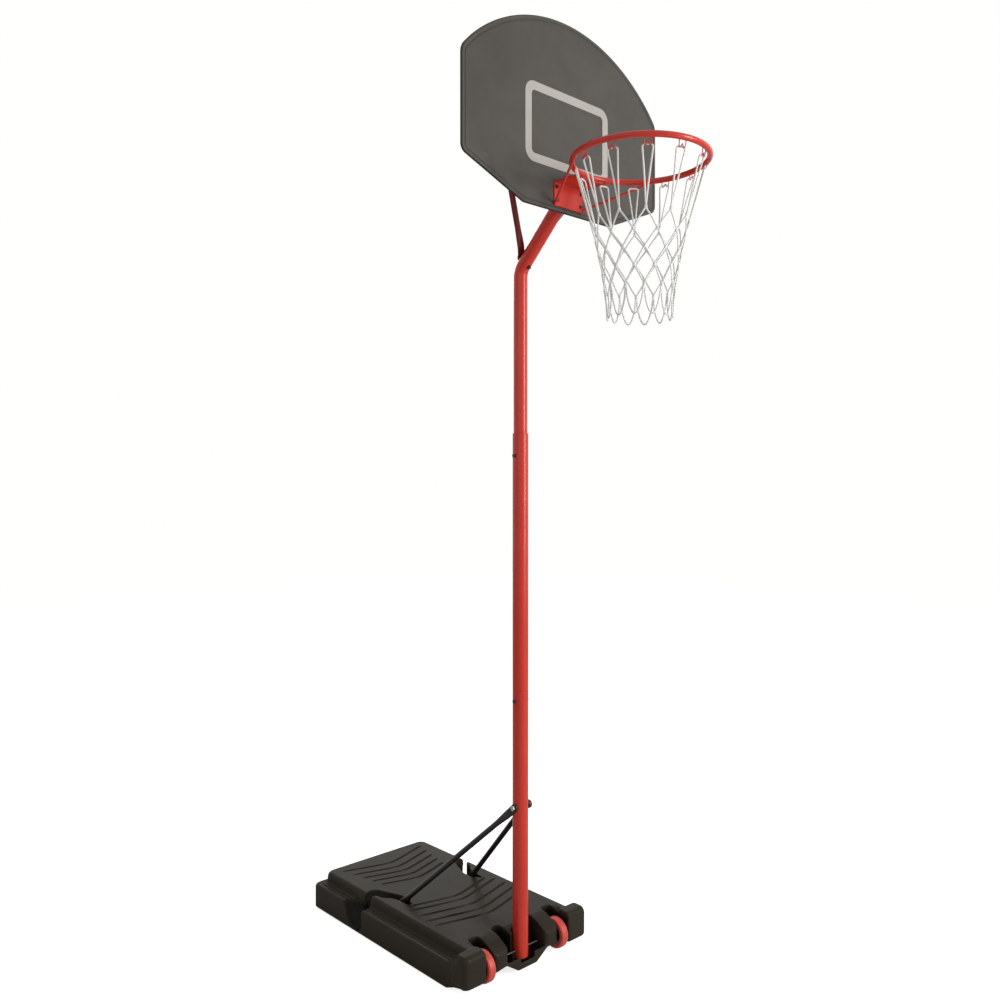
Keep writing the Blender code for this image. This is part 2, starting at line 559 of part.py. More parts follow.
# Struts and braces: round bars with flattened, rounded ends
def bar(stations, steps=12):
    """A bar through (centre, thickness direction, half thickness, half width, squareness) stations."""
    centres = np.array([s[0] for s in stations], float)
    tangents = np.gradient(centres, axis=0)
    turn = (np.arange(steps) + 0.5) * 2 * math.pi / steps
    rings = []
    for (centre, normal, thick, wide, square), along in zip(stations, tangents):
        along = along / np.linalg.norm(along)
        normal = np.asarray(normal, float) - along * (along @ np.asarray(normal, float))
        normal /= np.linalg.norm(normal)
        side = np.cross(along, normal)
        c, s = np.cos(turn), np.sin(turn)
        a = np.sign(c) * np.abs(c) ** (2 / square) * thick
        b = np.sign(s) * np.abs(s) ** (2 / square) * wide
        rings.append(np.asarray(centre) + np.outer(a, normal) + np.outer(b, side))
    return loft(rings)


def flat_end(bolt_at, along, normal, thick, wide, first):
    """Stations of a rounded flat end, from the tip in (first) or out to the tip."""
    along = np.asarray(along, float) / np.linalg.norm(along)
    out = []
    for t in (1.0, 0.9, 0.6, 0.0, -0.9):
        size = math.sqrt(max(1 - t * t, 0.02)) if t > 0 else 1.0
        out.append((np.asarray(bolt_at) + along * wide * t, normal, thick, wide * size, 3.0))
    return out if first else out[::-1]


def tapered(start, end, first_normal, last_normal, flat, round_, widths):
    """Stations of the middle of a bar, from flat to round and back, between two points."""
    out = []
    for t in (0.0, 0.25, 0.5, 1.0):
        mix = t * t * (3 - 2 * t)
        out.append((start + (end - start) * t * 0.13, first_normal, flat + (round_ - flat) * mix,
                    widths + (round_ - widths) * mix, 3.0 - mix))
    for t in (1.0, 0.5, 0.25, 0.0):
        mix = t * t * (3 - 2 * t)
        out.append((end - (end - start) * t * 0.13, last_normal, flat + (round_ - flat) * mix,
                    widths + (round_ - widths) * mix, 3.0 - mix))
    return out


def strut_shape():
    thick, wide = 0.002, 0.011
    top = np.array([POLE_R + GAP + thick, py(0), STRUT_TOP_Z])
    foot = np.array([FOOT[0], py(FOOT[1]), FOOT[2]])
    line = (foot - top) * (0, 1, 1)
    line /= np.linalg.norm(line)
    start, end = top + line * 0.022, foot - line * 0.019
    stations = flat_end(top, -line, (1, 0, 0), thick, wide, True)
    stations += tapered(start, end, (1, 0, 0), (1, 0, 0), thick, STRUT_D / 2, wide)
    return bar(stations + flat_end(foot, line, (1, 0, 0), thick, wide, False))


strut = strut_shape()
foot_at = (FOOT[0], py(FOOT[1]), FOOT[2])
for side, shape, sign in (("left", mirrored(strut), -1), ("right", strut, 1)):
    obj = body(f"strut_{side}", *shape, PAINT_BLACK, (sign * POLE_R, POLE_Y, STRUT_TOP_Z))
    top_at = (0, POLE_Y, STRUT_TOP_Z)
    low_at = (sign * foot_at[0], foot_at[1], foot_at[2])
    holes = joined([hole(top_at, (sign, 0, 0), STRUT_BOLT_R + GAP, POLE_R - 0.004, POLE_R + 0.012, 16),
                    hole(low_at, (sign, 0, 0), 0.003 + GAP, -0.012, 0.012, 16)])
    cut(obj, f"strut_holes_{side}", holes)
    bolt(f"strut_foot_bolt_{side}", (sign * (foot_at[0] + 0.002 + GAP), *foot_at[1:]), (-sign, 0, 0),
         0.033, 0.003, paint=PAINT_BLACK)
STACK = POLE_R + GAP + 0.004 + GAP
bolt("strut_bolt", (-STACK, POLE_Y, STRUT_TOP_Z), (1, 0, 0), 2 * STACK + 0.009, STRUT_BOLT_R)
cap_nut("strut_cap_nut", (STACK, POLE_Y, STRUT_TOP_Z), (1, 0, 0), STRUT_BOLT_R + GAP, 0.0115, 0.0125, 0.0098)

BOARD_FIX = (BOARD_HALF - 0.087, BACK, BOARD_FOOT + BOARD_HEIGHT * 0.6589)
BRACE_WIDE = 0.0098


def brace_shape(layer):
    """The right brace; layer 0 lies on the tube, layer 1 on the other brace's end."""
    thick = BRACE_SHEET / 2
    low = BRACE_AT + SLOPE_UP * (UPPER_R + GAP + thick + layer * (BRACE_SHEET + GAP))
    high = np.array([BOARD_FIX[0], py(BACK + GAP + thick), BOARD_FIX[2]])
    turn = math.radians(37)
    first = np.array([math.sin(turn), 0, 0]) + SLOPE * math.cos(turn)
    last = (high - low) * (1, 0, 1)
    last /= np.linalg.norm(last)
    stations = flat_end(low, -first, SLOPE_UP, thick, BRACE_WIDE, True)
    start, end = low + first * BRACE_FLAT, high - last * 0.020
    stations += tapered(start, end, SLOPE_UP, (0, 1, 0), thick, BRACE_D / 2, BRACE_WIDE)
    return bar(stations + flat_end(high, last, (0, 1, 0), thick, BRACE_WIDE, False))


for side, shape, sign in (("left", mirrored(brace_shape(0)), -1), ("right", brace_shape(1), 1)):
    obj = body(f"brace_{side}", *shape, PAINT_DARK, BRACE_AT + SLOPE_UP * UPPER_R, mast)
    fix = (sign * BOARD_FIX[0], py(BACK), BOARD_FIX[2])
    holes = joined([hole(BRACE_AT, SLOPE_UP, STRUT_BOLT_R + GAP, UPPER_R - 0.003, UPPER_R + 0.014, 16),
                    hole(fix, (0, 1, 0), 0.003 + GAP, -0.004, 0.012, 16)])
    cut(obj, f"brace_holes_{side}", holes)
    bolt(f"brace_screw_{side}", (fix[0], fix[1] + 2 * GAP + BRACE_SHEET, fix[2]), (0, -1, 0),
         BRACE_SHEET + 2 * GAP + 0.0053, 0.003, parent=mast)
STACK_UP = UPPER_R + 2 * BRACE_SHEET + 3 * GAP
bolt("brace_bolt", BRACE_AT - SLOPE_UP * (UPPER_R + GAP), SLOPE_UP, UPPER_R + STACK_UP + GAP + 0.007,
     STRUT_BOLT_R, parent=mast)
nut("brace_nut", BRACE_AT + SLOPE_UP * STACK_UP, SLOPE_UP, STRUT_BOLT_R, 0.0055, parent=mast)


# Backboard: a moulded tray with a ribbed back
def board_outline():
    """The board's outline, anticlockwise seen from the back: arc on top, chamfered foot."""
    centre = BOARD_APEX - BOARD_ARC
    last = math.asin(BOARD_HALF / BOARD_ARC)
    arc = [(BOARD_ARC * math.sin(a), centre + BOARD_ARC * math.cos(a)) for a in np.linspace(last, -last, 17)]
    corners = [(-BOARD_FOOT_HALF, BOARD_FOOT, 0.02), (BOARD_FOOT_HALF, BOARD_FOOT, 0.02),
               (BOARD_HALF, BOARD_SIDE_Z, 0.022)]
    corners += [(x, z, BOARD_SHOULDER if abs(abs(x) - BOARD_HALF) < 1e-6 else 0) for x, z in arc]
    return round_corners(corners + [(-BOARD_HALF, BOARD_SIDE_Z, 0.022)], 3)


OUTLINE = board_outline()
FRONT = BACK - BOARD_DEPTH
FACE = FRONT + 0.002


def board_ring(y, way_in):
    return np.array([(x, py(y), z) for x, z in inset(OUTLINE, way_in)])


backboard = body("backboard", *loft([board_ring(y, way_in) for y, way_in in (
    (BACK, BOARD_DRAFT + 0.0012), (BACK - 0.0012, BOARD_DRAFT), (FRONT + 0.0046, 0.0),
    (FRONT + 0.0016, 0.0014), (FRONT, 0.0045), (FRONT + 0.0004, 0.0078), (FACE, 0.0098))]),
    BOARD_PLASTIC, (0, py(BACK), BOARD_FOOT), mast)
pocket_rings = [board_ring(BACK + 0.02, 0.0085), board_ring(FACE + BOARD_WALL, 0.0095)]
pocket = cutter("board_pocket", loft(pocket_rings))
RIB = 0.0028
RIB_REACH = BOARD_HALF - 0.083
RIB_LOW, RIB_HIGH = py(FACE - 0.01), py(BACK + 0.03)
upright = joined([block((x - RIB / 2, RIB_LOW, BOARD_FOOT - RIB), (x + RIB / 2, RIB_HIGH, BOARD_APEX + RIB))
                  for x in np.linspace(-RIB_REACH, RIB_REACH, 6)])
RIB_ROWS = np.linspace(BOARD_FOOT + 0.105, BOARD_APEX - 0.08, 4)
level = joined([block((-BOARD_HALF - RIB, RIB_LOW, z - RIB / 2), (BOARD_HALF + RIB, RIB_HIGH, z + RIB / 2))
                for z in RIB_ROWS])
bosses = joined([block((-0.068, RIB_LOW, BOARD_FOOT - 0.02), (0.068, RIB_HIGH, BOARD_FOOT + 0.093))]
                + [turned([(0.0145, 0.0), (0.0145, 0.08)], (sign * BOARD_FIX[0], RIB_LOW, BOARD_FIX[2]),
                          (0, 1, 0), 20) for sign in (-1, 1)])
for name, shape in (("upright_ribs", upright), ("level_ribs", level), ("board_bosses", bosses)):
    cut(pocket, name, shape)
combine(backboard, pocket, "DIFFERENCE")
cut(backboard, "board_holes", plate_holes)
brace_bore = hole((BOARD_FIX[0], py(BACK), BOARD_FIX[2]), (0, -1, 0), 0.003 + GAP, -0.02, 0.0062, 16)
cut(backboard, "brace_bores", both_sides(brace_bore))

# The printed aiming rectangle, as a thin inlay in front of the face
def frame_ring(half, low, high, radius, y):
    corners = [(-half, low, radius), (half, low, radius), (half, high, radius), (-half, high, radius)]
    pts = round_corners(corners, 4)
    return np.array([(x, py(y), z) for x, z in pts])


AIM_LOW = BOARD_FOOT + AIM_RISE
AIM_HIGH = AIM_LOW + AIM_HEIGHT
outer = [frame_ring(AIM_HALF, AIM_LOW, AIM_HIGH, AIM_R, y) for y in (FACE - GAP, FACE - GAP - 0.0005)]
inner = [frame_ring(AIM_HALF - AIM_BAND, AIM_LOW + AIM_BAND, AIM_HIGH - AIM_BAND, AIM_R - AIM_BAND * 0.9, y)
         for y in (FACE - GAP - 0.0005, FACE - GAP)]
body("aiming_rectangle", *loft(outer + inner, wrap=True), BOARD_PRINT, (0, py(FACE), AIM_LOW), mast)

# Rim: ring, twelve net hooks, bent bracket and two support rods, welded into one piece
SEATS = [math.radians(15 + 30 * k) for k in range(12)]
cx, cy, cz = RIM_CENTRE


def tube(path, radius, steps=6):
    """A round bar along a path of points, with a frame carried from ring to ring."""
    path = np.asarray(path, float)
    along = np.gradient(path, axis=0)
    along /= np.linalg.norm(along, axis=1)[:, None]
    side = np.cross(along[0], [0.0, 0.0, 1.0] if abs(along[0][2]) < 0.9 else [1.0, 0.0, 0.0])
    turn = np.arange(steps) * 2 * math.pi / steps
    rings = []
    for at, direction in zip(path, along):
        side = side - direction * (side @ direction)
        side /= np.linalg.norm(side)
        up = np.cross(direction, side)
        rings.append(at + radius * (np.outer(np.cos(turn), side) + np.outer(np.sin(turn), up)))
    return loft(rings)


def hook(angle):
    """A wire bent to a W under the rim, in the plane that touches the rim at this angle."""
    out = np.array([math.cos(angle), math.sin(angle), 0])
    along = np.array([-math.sin(angle), math.cos(angle), 0])
    points = [(-0.0100, 0.0045), (-0.0094, -0.0110), (-0.0070, -0.0175), (-0.0034, -0.0170), (0.0, -0.0105),
              (0.0034, -0.0170), (0.0070, -0.0175), (0.0094, -0.0110), (0.0100, 0.0045)]
    return tube([np.array(RIM_CENTRE) + out * (RIM_R - 0.0045) + along * s + np.array([0, 0, -0.0045 + z])
                 for s, z in points], 0.0014, 5)


ring_turns = np.linspace(0, 2 * math.pi, 57)[:-1]
rim_section = [(RIM_R + RIM_TUBE * math.cos(t), RIM_TUBE * math.sin(t)) for t in np.arange(8) * math.pi / 4]
rim_rings = [np.array([(r * math.cos(a) + cx, r * math.sin(a) + cy, cz + h) for r, h in rim_section])
             for a in ring_turns]
rim = body("rim", *loft(rim_rings, wrap=True), PAINT_RED, RIM_CENTRE, mast)
SHEET = 0.003
bracket_half = 0.053
front_y, low_z, top_z = FACE - GAP, BOARD_FOOT + 0.0135, RIM_Z - RIM_TUBE + 0.0010
profile = round_corners([(front_y, low_z, 0), (front_y, top_z, 0.005), (-RIM_AHEAD + RIM_R * 0.86, top_z, 0),
                         (-RIM_AHEAD + RIM_R * 0.86, top_z - SHEET, 0),
                         (front_y - SHEET, top_z - SHEET, 0.002),
                         (front_y - SHEET, low_z, 0)], 3)
bracket = cutter("rim_bracket", prism([(py(y), z) for y, z in profile], -bracket_half, bracket_half, "x"))
ARC_CUT = 4 * RIM_TUBE
arc_cut = turned([(RIM_R - 0.001, -ARC_CUT), (RIM_R - 0.001, ARC_CUT)], RIM_CENTRE, (0, 0, 1), 72)
cut(bracket, "bracket_arc", arc_cut)
cut(bracket, "bracket_holes", plate_holes)
combine(rim, bracket, "UNION")
ROD_END = math.radians(28.6)
rod = tube([(bracket_half - 0.0025, py(front_y - 0.0017), low_z + 0.0055),
            (RIM_R * math.cos(ROD_END), cy + RIM_R * math.sin(ROD_END), RIM_Z - RIM_TUBE * 0.55)], 0.0032, 8)
add(rim, "support_rods", both_sides(rod))
add(rim, "net_hooks", joined([hook(a) for a in SEATS]))

# Bolts that hold rim, board and plate together
for number, (x, z) in enumerate(BOLTS, 1):
    head_y, nut_y = py(front_y - SHEET - GAP), py(BACK + PLATE + GAP)
    bolt(f"rim_bolt_{number}", (x, head_y, z), (0, 1, 0), nut_y - head_y + 0.0075, BOLT_R, parent=mast)
    nut(f"rim_nut_{number}", (x, nut_y, z), (0, 1, 0), BOLT_R, 0.005, parent=mast)


# Net: flat strips on a funnel, joined at small diamond knots and thickened
NET_TOP = RIM_Z - 0.0165
NET_TOP_R = RIM_R - 0.0115
KNOT_ROWS = [RIM_Z - NET_DROP * share for share in (0.3879, 0.5007, 0.6027, 0.7101, 0.8228)]


def net_radius(z):
    """The funnel: straight legs from the rim to the first knots, then a throat that narrows less and less."""
    if z > KNOT_ROWS[0]:
        return NET_WAIST_R + (NET_TOP_R - NET_WAIST_R) * (z - KNOT_ROWS[0]) / (NET_TOP - KNOT_ROWS[0])
    share = max(z - NET_FOOT, 0.0) / (KNOT_ROWS[0] - NET_FOOT)
    return NET_FOOT_R + (NET_WAIST_R - NET_FOOT_R) * share ** 1.6


class Net:
    """Points (angle, z) on the funnel and quads between them."""

    def __init__(self):
        self.points, self.faces = [], []

    def point(self, angle, z):
        self.points.append((angle, z))
        return len(self.points) - 1

    def knot(self, angle, z):
        """A diamond whose four edges take the four cords: left, top, right, bottom corners."""
        half, dip = CORD * 0.72 / net_radius(z), CORD * 0.9
        corners = [self.point(angle - half, z), self.point(angle, z + dip), self.point(angle + half, z),
                   self.point(angle, z - dip)]
        self.faces.append(tuple(corners))
        return corners

    def strip(self, start, end, path):
        """Quads from one knot's edge (two points) along a path of (angle, z) to another edge."""
        last = start
        for i in range(1, len(path) - 1):
            (a0, z0), (a1, z1) = path[i - 1], path[i + 1]
            r = net_radius(path[i][1])
            run = np.array([(a1 - a0) * r, z1 - z0])
            run /= np.linalg.norm(run)
            left = np.array([-run[1], run[0]]) * CORD / 2
            pair = [self.point(path[i][0] + s * left[0] / r, path[i][1] + s * left[1]) for s in (1, -1)]
            self.faces.append((last[0], last[1], pair[1], pair[0]))
            last = pair
        self.faces.append((last[0], last[1], end[1], end[0]))

    def shape(self):
        angle, z = np.array(self.points).T
        r = np.array([net_radius(height) for height in z])
        return np.stack([cx + r * np.cos(angle), cy + r * np.sin(angle), z], 1), self.faces


def straight(a0, z0, a1, z1, cuts):
    return [(a0 + (a1 - a0) * t, z0 + (z1 - z0) * t) for t in np.linspace(0, 1, cuts + 1)]


def build_net():
    net = Net()
    step = 2 * math.pi / len(SEATS)
    rows = [[net.knot(SEATS[0] + step * (k + 0.5 * (row % 2)), z) for k in range(12)]
            for row, z in enumerate(KNOT_ROWS)]
    for row in range(len(KNOT_ROWS) - 1):
        for k in range(12):
            upper = rows[row][k]
            angle = SEATS[0] + step * (k + 0.5 * (row % 2))
            right = rows[row + 1][k if row % 2 == 0 else (k + 1) % 12]
            left = rows[row + 1][(k - 1) % 12 if row % 2 == 0 else k]
            z0, z1 = KNOT_ROWS[row], KNOT_ROWS[row + 1]
            net.strip((upper[2], upper[3]), (right[1], right[0]), straight(angle, z0, angle + step / 2, z1, 2))
            net.strip((upper[3], upper[0]), (left[2], left[1]), straight(angle, z0, angle - step / 2, z1, 2))
    for k in range(12):
        knot, angle = rows[0][k], SEATS[0] + step * k
        wide = 0.0118 / NET_TOP_R
        leg = straight(angle, KNOT_ROWS[0], angle - wide, NET_TOP - 0.004, 3)
        top = [(angle - wide * 0.62, NET_TOP), (angle + wide * 0.62, NET_TOP)]
        back = [(2 * angle - a, z) for a, z in leg[::-1]]
        net.strip((knot[0], knot[1]), (knot[2], knot[1]), leg + top + back)
        low, ahead = rows[-1][k], rows[-1][(k + 1) % 12]
        base = SEATS[0] + step * (k + 0.5 * ((len(KNOT_ROWS) - 1) % 2))
        drop = KNOT_ROWS[-1] - NET_FOOT
        loop = [(base + step * t / math.pi, KNOT_ROWS[-1] - drop * math.sin(t) ** 0.62)
                for t in np.linspace(0, math.pi, 8)]
        net.strip((low[2], low[3]), (ahead[0], ahead[3]), loop)
    return net.shape()


points, faces = build_net()
net_obj = body("net", points, faces, NET_CORD, RIM_CENTRE, mast)
thick = net_obj.modifiers.new("cord thickness", "SOLIDIFY")
thick.thickness, thick.offset, thick.use_even_offset = CORD * 0.85, 0.0, True
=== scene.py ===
"""Dressed model of a portable basketball stand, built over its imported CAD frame.

Metres, +Z up. The origin is on the floor under the middle of the tank. The board and the rim face -Y
and the tank reaches back to +Y. POLE is the Y of the pole's axis, and at(y) is a place behind that axis.
"""
import logging
import math
from dataclasses import dataclass, field
from enum import Enum

import bmesh
import bpy
import numpy as np
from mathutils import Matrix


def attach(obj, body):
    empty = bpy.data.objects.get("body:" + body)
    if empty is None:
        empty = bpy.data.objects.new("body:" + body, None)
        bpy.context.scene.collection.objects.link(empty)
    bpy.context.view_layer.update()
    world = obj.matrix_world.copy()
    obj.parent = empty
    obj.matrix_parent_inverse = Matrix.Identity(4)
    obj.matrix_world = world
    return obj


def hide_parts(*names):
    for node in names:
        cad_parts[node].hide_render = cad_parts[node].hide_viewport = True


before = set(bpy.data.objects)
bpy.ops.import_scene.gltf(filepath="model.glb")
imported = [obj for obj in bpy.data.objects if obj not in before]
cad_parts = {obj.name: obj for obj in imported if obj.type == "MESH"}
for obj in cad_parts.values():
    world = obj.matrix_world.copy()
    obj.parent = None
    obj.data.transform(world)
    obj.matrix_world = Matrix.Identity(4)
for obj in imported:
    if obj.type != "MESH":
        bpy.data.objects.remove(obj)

log = logging.getLogger("basketball_stand")
Array = np.ndarray
Vec = tuple[float, float, float]
TAU = 2 * math.pi
POLE = -0.3245
# Point attribute of painted shade in the tank's hollows and of the board's dark plastic wall.
SHADE_AND_DARK_WALL = "painted_shade_and_dark_wall"
OVER_DECK = 0.13


class Body(Enum):
    """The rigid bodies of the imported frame."""

    STAND = "stand"
    MAST = "mast"
    WHEEL_LEFT = "wheel_left"
    WHEEL_RIGHT = "wheel_right"
    BUNG = "bung"


class Side(Enum):
    """The two halves of the stand, seen from the front."""

    LEFT = -1
    RIGHT = 1


def at(y: float) -> float:
    """The shared frame's Y of a place this far behind the pole's axis."""
    return POLE + y


# Shapes


@dataclass
class Shape:
    """A mesh as arrays: points, faces of four, faces of any other count, and the faces' UV corners."""

    points: Array
    quads: Array = field(default_factory=lambda: np.zeros((0, 4), int))
    others: list[tuple[int, ...]] = field(default_factory=list)
    uv: Array | None = None

    def moved(self, offset: Vec) -> "Shape":
        """The same shape, shifted."""
        return Shape(self.points + np.asarray(offset), self.quads, self.others, self.uv)

    def mirrored(self) -> "Shape":
        """The shape on the other side of X = 0, still facing outwards."""
        uv = None if self.uv is None else self.uv[:, ::-1]
        return Shape(self.points * (-1, 1, 1), self.quads[:, ::-1], [face[::-1] for face in self.others], uv)


def joined(*shapes: Shape) -> Shape:
    """Several shapes as one, each still closed by itself.

    Args:
        shapes: the shapes to put together.

    Returns:
        One shape that holds them all.
    """
    starts = np.cumsum([0] + [len(s.points) for s in shapes[:-1]])
    quads = np.vstack([s.quads + n for s, n in zip(shapes, starts)])
    others = [tuple(int(i + n) for i in face) for s, n in zip(shapes, starts) for face in s.others]
    uv = np.vstack([s.uv for s in shapes]) if all(s.uv is not None for s in shapes) else None
    return Shape(np.vstack([s.points for s in shapes]), quads, others, uv)


def skin(rows: Array, close_rows: bool = False, uv_scale: tuple[float, float] | None = None) -> Shape:
    """A closed surface over rows of points: row i, column j meets row i + 1 and column j + 1, columns wrap.

    Args:
        rows: an (n, m, 3) array of points.
        close_rows: whether the last row meets the first, as on a ring.
        uv_scale: length of the whole run and of the way round in UV units, where a UV map is wanted.

    Returns:
        The surface as a shape.
    """
    n, m = rows.shape[:2]
    index = np.arange(n * m).reshape(n, m)
    below = index if close_rows else index[:-1]
    above = np.roll(index, -1, 0) if close_rows else index[1:]
    quads = np.stack([below, np.roll(below, -1, 1), np.roll(above, -1, 1), above], -1).reshape(-1, 4)
    others = [] if close_rows else [tuple(index[0, ::-1].tolist()), tuple(index[-1].tolist())]
    uv = None
    if uv_scale is not None:
        i, j = np.meshgrid(np.arange(len(below)), np.arange(m), indexing="ij")
        corners = [(i, j), (i, j + 1), (i + 1, j + 1), (i + 1, j)]
        uv = np.stack([np.stack([a / len(below) * uv_scale[0], b / m * uv_scale[1]], -1) for a, b in corners],
                      2)
        uv = uv.reshape(-1, 4, 2)
    return Shape(rows.reshape(-1, 3), quads, others, uv)


def basis(axis: Vec) -> Array:
    """Rows of a right-handed frame whose third row is the given direction.

    Args:
        axis: the direction that the third row takes.

    Returns:
        A (3, 3) array of unit rows.
    """
    z = np.asarray(axis, float) / np.linalg.norm(axis)
    x = np.cross([0, 0, 1.0], z)
    x = np.array([1.0, 0, 0]) if np.linalg.norm(x) < 1e-6 else x / np.linalg.norm(x)
    return np.stack([x, np.cross(z, x), z])


def hexagon(turn: Array) -> Array:
    """Radius at each angle of a hexagon of corner radius 1: cos 30 / cos(angle off the flat's middle)."""
    return math.cos(math.pi / 6) / np.cos((turn % (math.pi / 3)) - math.pi / 6)


def turned(profile: list[tuple[float, float]], place: Vec, axis: Vec, steps: int = 48, ring: bool = False,
           flats: float = 0.0) -> Shape:
    """A profile of (radius, height) carried round an axis: (r cos t, r sin t, h).

    Args:
        profile: pairs from the bottom to the top, in metres.
        place: a point on the axis, at height 0.
        axis: direction of the axis.
        steps: points round the axis.
        ring: whether the profile closes on itself, round a bore.
        flats: corner radius of a hexagon that cuts every wider radius, or 0 for none.

    Returns:
        The closed shape.
    """
    pairs = np.asarray(profile, float)
    turn = np.arange(steps) * TAU / steps
    radius = np.maximum(pairs[:, :1], 1e-5) * np.ones(steps)
    if flats:
        radius = np.minimum(radius, flats * hexagon(turn))
    height = pairs[:, 1:] * np.ones(steps)
    local = np.stack([radius * np.cos(turn), radius * np.sin(turn), height], -1)
    return skin(np.asarray(place) + local @ basis(axis), close_rows=ring)


def swept(path: Array, radius: Array | float, normal: Array | Vec, steps: int = 16, closed: bool = False,
          uv_scale: tuple[float, float] | None = None) -> Shape:
    """A round bar: p(s) + r(s) (cos t * side + sin t * up), side = tangent x normal.

    Args:
        path: an (n, 3) array of points.
        radius: one radius, or one for each point.
        normal: a direction off the path, the same for all points or one for each.
        steps: points round the bar.
        closed: whether the path is a ring.
        uv_scale: passed on to skin.

    Returns:
        The bar as a shape.
    """
    tangent = (np.roll(path, -1, 0) - np.roll(path, 1, 0)) if closed else np.gradient(path, axis=0)
    tangent /= np.linalg.norm(tangent, axis=1)[:, None]
    side = np.cross(tangent, np.broadcast_to(np.asarray(normal, float), path.shape))
    side /= np.linalg.norm(side, axis=1)[:, None]
    up = np.cross(side, tangent)
    turn = -np.arange(steps) * TAU / steps
    size = np.broadcast_to(np.asarray(radius, float), (len(path),))[:, None, None]
    rows = path[:, None] + size * (np.cos(turn)[None, :, None] * side[:, None]
                                   + np.sin(turn)[None, :, None] * up[:, None])
    return skin(rows, close_rows=closed, uv_scale=uv_scale)


def smooth_path(corners: Array, per_span: int = 8) -> Array:
    """A curve through points: the Catmull-Rom cubic between each pair and its neighbours.

    Args:
        corners: the points, one row each.
        per_span: points worked out between one corner and the next.

    Returns:
        The curve's points, ending on the last corner.
    """
    pts = np.asarray(corners, float)
    p0, p1, p2, p3 = np.vstack([2 * pts[0] - pts[1], pts[:-2]]), pts[:-1], pts[1:], np.vstack([pts[2:],
                                                                                               2 * pts[-1]
                                                                                               - pts[-2]])
    t = (np.arange(per_span) / per_span)[None, :, None]
    a, b, c, d = (p[:, None] for p in (p0, p1, p2, p3))
    curve = 0.5 * (2 * b + (c - a) * t + (2 * a - 5 * b + 4 * c - d) * t ** 2
                   + (3 * b - a - 3 * c + d) * t ** 3)
    return np.vstack([curve.reshape(-1, pts.shape[1]), pts[-1:]])


def rounded(corners: list[tuple[float, float, float]], steps: int = 8) -> Array:
    """An outline whose corners give way to arcs that touch both of their sides.

    Args:
        corners: (a, b, radius) of each corner; a radius of 0 keeps it sharp.
        steps: steps along each arc.

    Returns:
        The outline's pairs, one row each.
    """
    out = []
    for i, (a, b, radius) in enumerate(corners):
        here = np.array([a, b])
        if radius <= 0:
            out.append(here[None])
            continue
        back, ahead = (np.array(corners[k % len(corners)][:2]) - here for k in (i - 1, i + 1))
        back, ahead = back / np.linalg.norm(back), ahead / np.linalg.norm(ahead)
        half = math.acos(float(np.clip(back @ ahead, -1, 1))) / 2
        middle = here + (back + ahead) / np.linalg.norm(back + ahead) * radius / math.sin(half)
        first, last = (here + d * radius / math.tan(half) - middle for d in (back, ahead))
        turn = math.atan2(first[0] * last[1] - first[1] * last[0], first @ last) * np.linspace(0, 1,
                                                                                               steps + 1)
        out.append(middle + np.stack([first[0] * np.cos(turn) - first[1] * np.sin(turn),
                                      first[0] * np.sin(turn) + first[1] * np.cos(turn)], 1))
    return np.vstack(out)


def inset(outline: Array, distance: float) -> Array:
    """A convex, anticlockwise outline moved inward: each point goes along the mitre of its two sides.

    Args:
        outline: the outline's pairs.
        distance: how far each side moves in, in metres.

    Returns:
        The smaller outline, with as many pairs.
    """
    side = np.roll(outline, -1, 0) - outline
    side /= np.linalg.norm(side, axis=1)[:, None]
    inward = np.stack([-side[:, 1], side[:, 0]], 1)
    both = inward + np.roll(inward, 1, 0)
    return outline + both * (2 * distance / (both * both).sum(1))[:, None]


class Plane(Enum):
    """Which two axes an outline's pairs stand for; the third is the way it is pulled."""

    XY = (0, 1, 2)
    XZ = (0, 2, 1)
    YZ = (1, 2, 0)


def lift(outline: Array, plane: Plane, height: float) -> Array:
    """An outline's pairs as points at one height along the third axis.

    Args:
        outline: the pairs.
        plane: the axes that they stand for.
        height: the place along the third axis.

    Returns:
        The points, one row each.
    """
    row = np.empty((len(outline), 3))
    a, b, c = plane.value
    row[:, a], row[:, b], row[:, c] = outline[:, 0], outline[:, 1], height
    return row


def pulled(outline: Array, plane: Plane, low: float, high: float) -> Shape:
    """An outline pulled straight from low to high."""
    return skin(np.stack([lift(outline, plane, low), lift(outline, plane, high)]))


def plate(outline: Array, plane: Plane, low: float, high: float, edge: float) -> Shape:
    """A flat plate with rounded edges: the outline moves in by e (1 - cos t) as the height rises by e sin t.

    Args:
        outline: the plate's outline.
        plane: the axes of the outline.
        low: where the plate starts.
        high: where it ends.
        edge: radius e of its edges.

    Returns:
        The closed shape.
    """
    t = np.linspace(0, math.pi / 2, 4)
    down = [(low + edge * (1 - math.sin(a)), edge * (1 - math.cos(a))) for a in t[::-1]]
    up = [(high - edge * (1 - math.sin(a)), edge * (1 - math.cos(a))) for a in t]
    return skin(np.stack([lift(inset(outline, d), plane, h) for h, d in down + up]))


def box(low: Vec, high: Vec) -> Shape:
    """A plain box between two corners, for cutters and ribs."""
    outline = np.array([(low[0], low[1]), (high[0], low[1]), (high[0], high[1]), (low[0], high[1])])
    return pulled(outline, Plane.XY, low[2], high[2])


# Objects


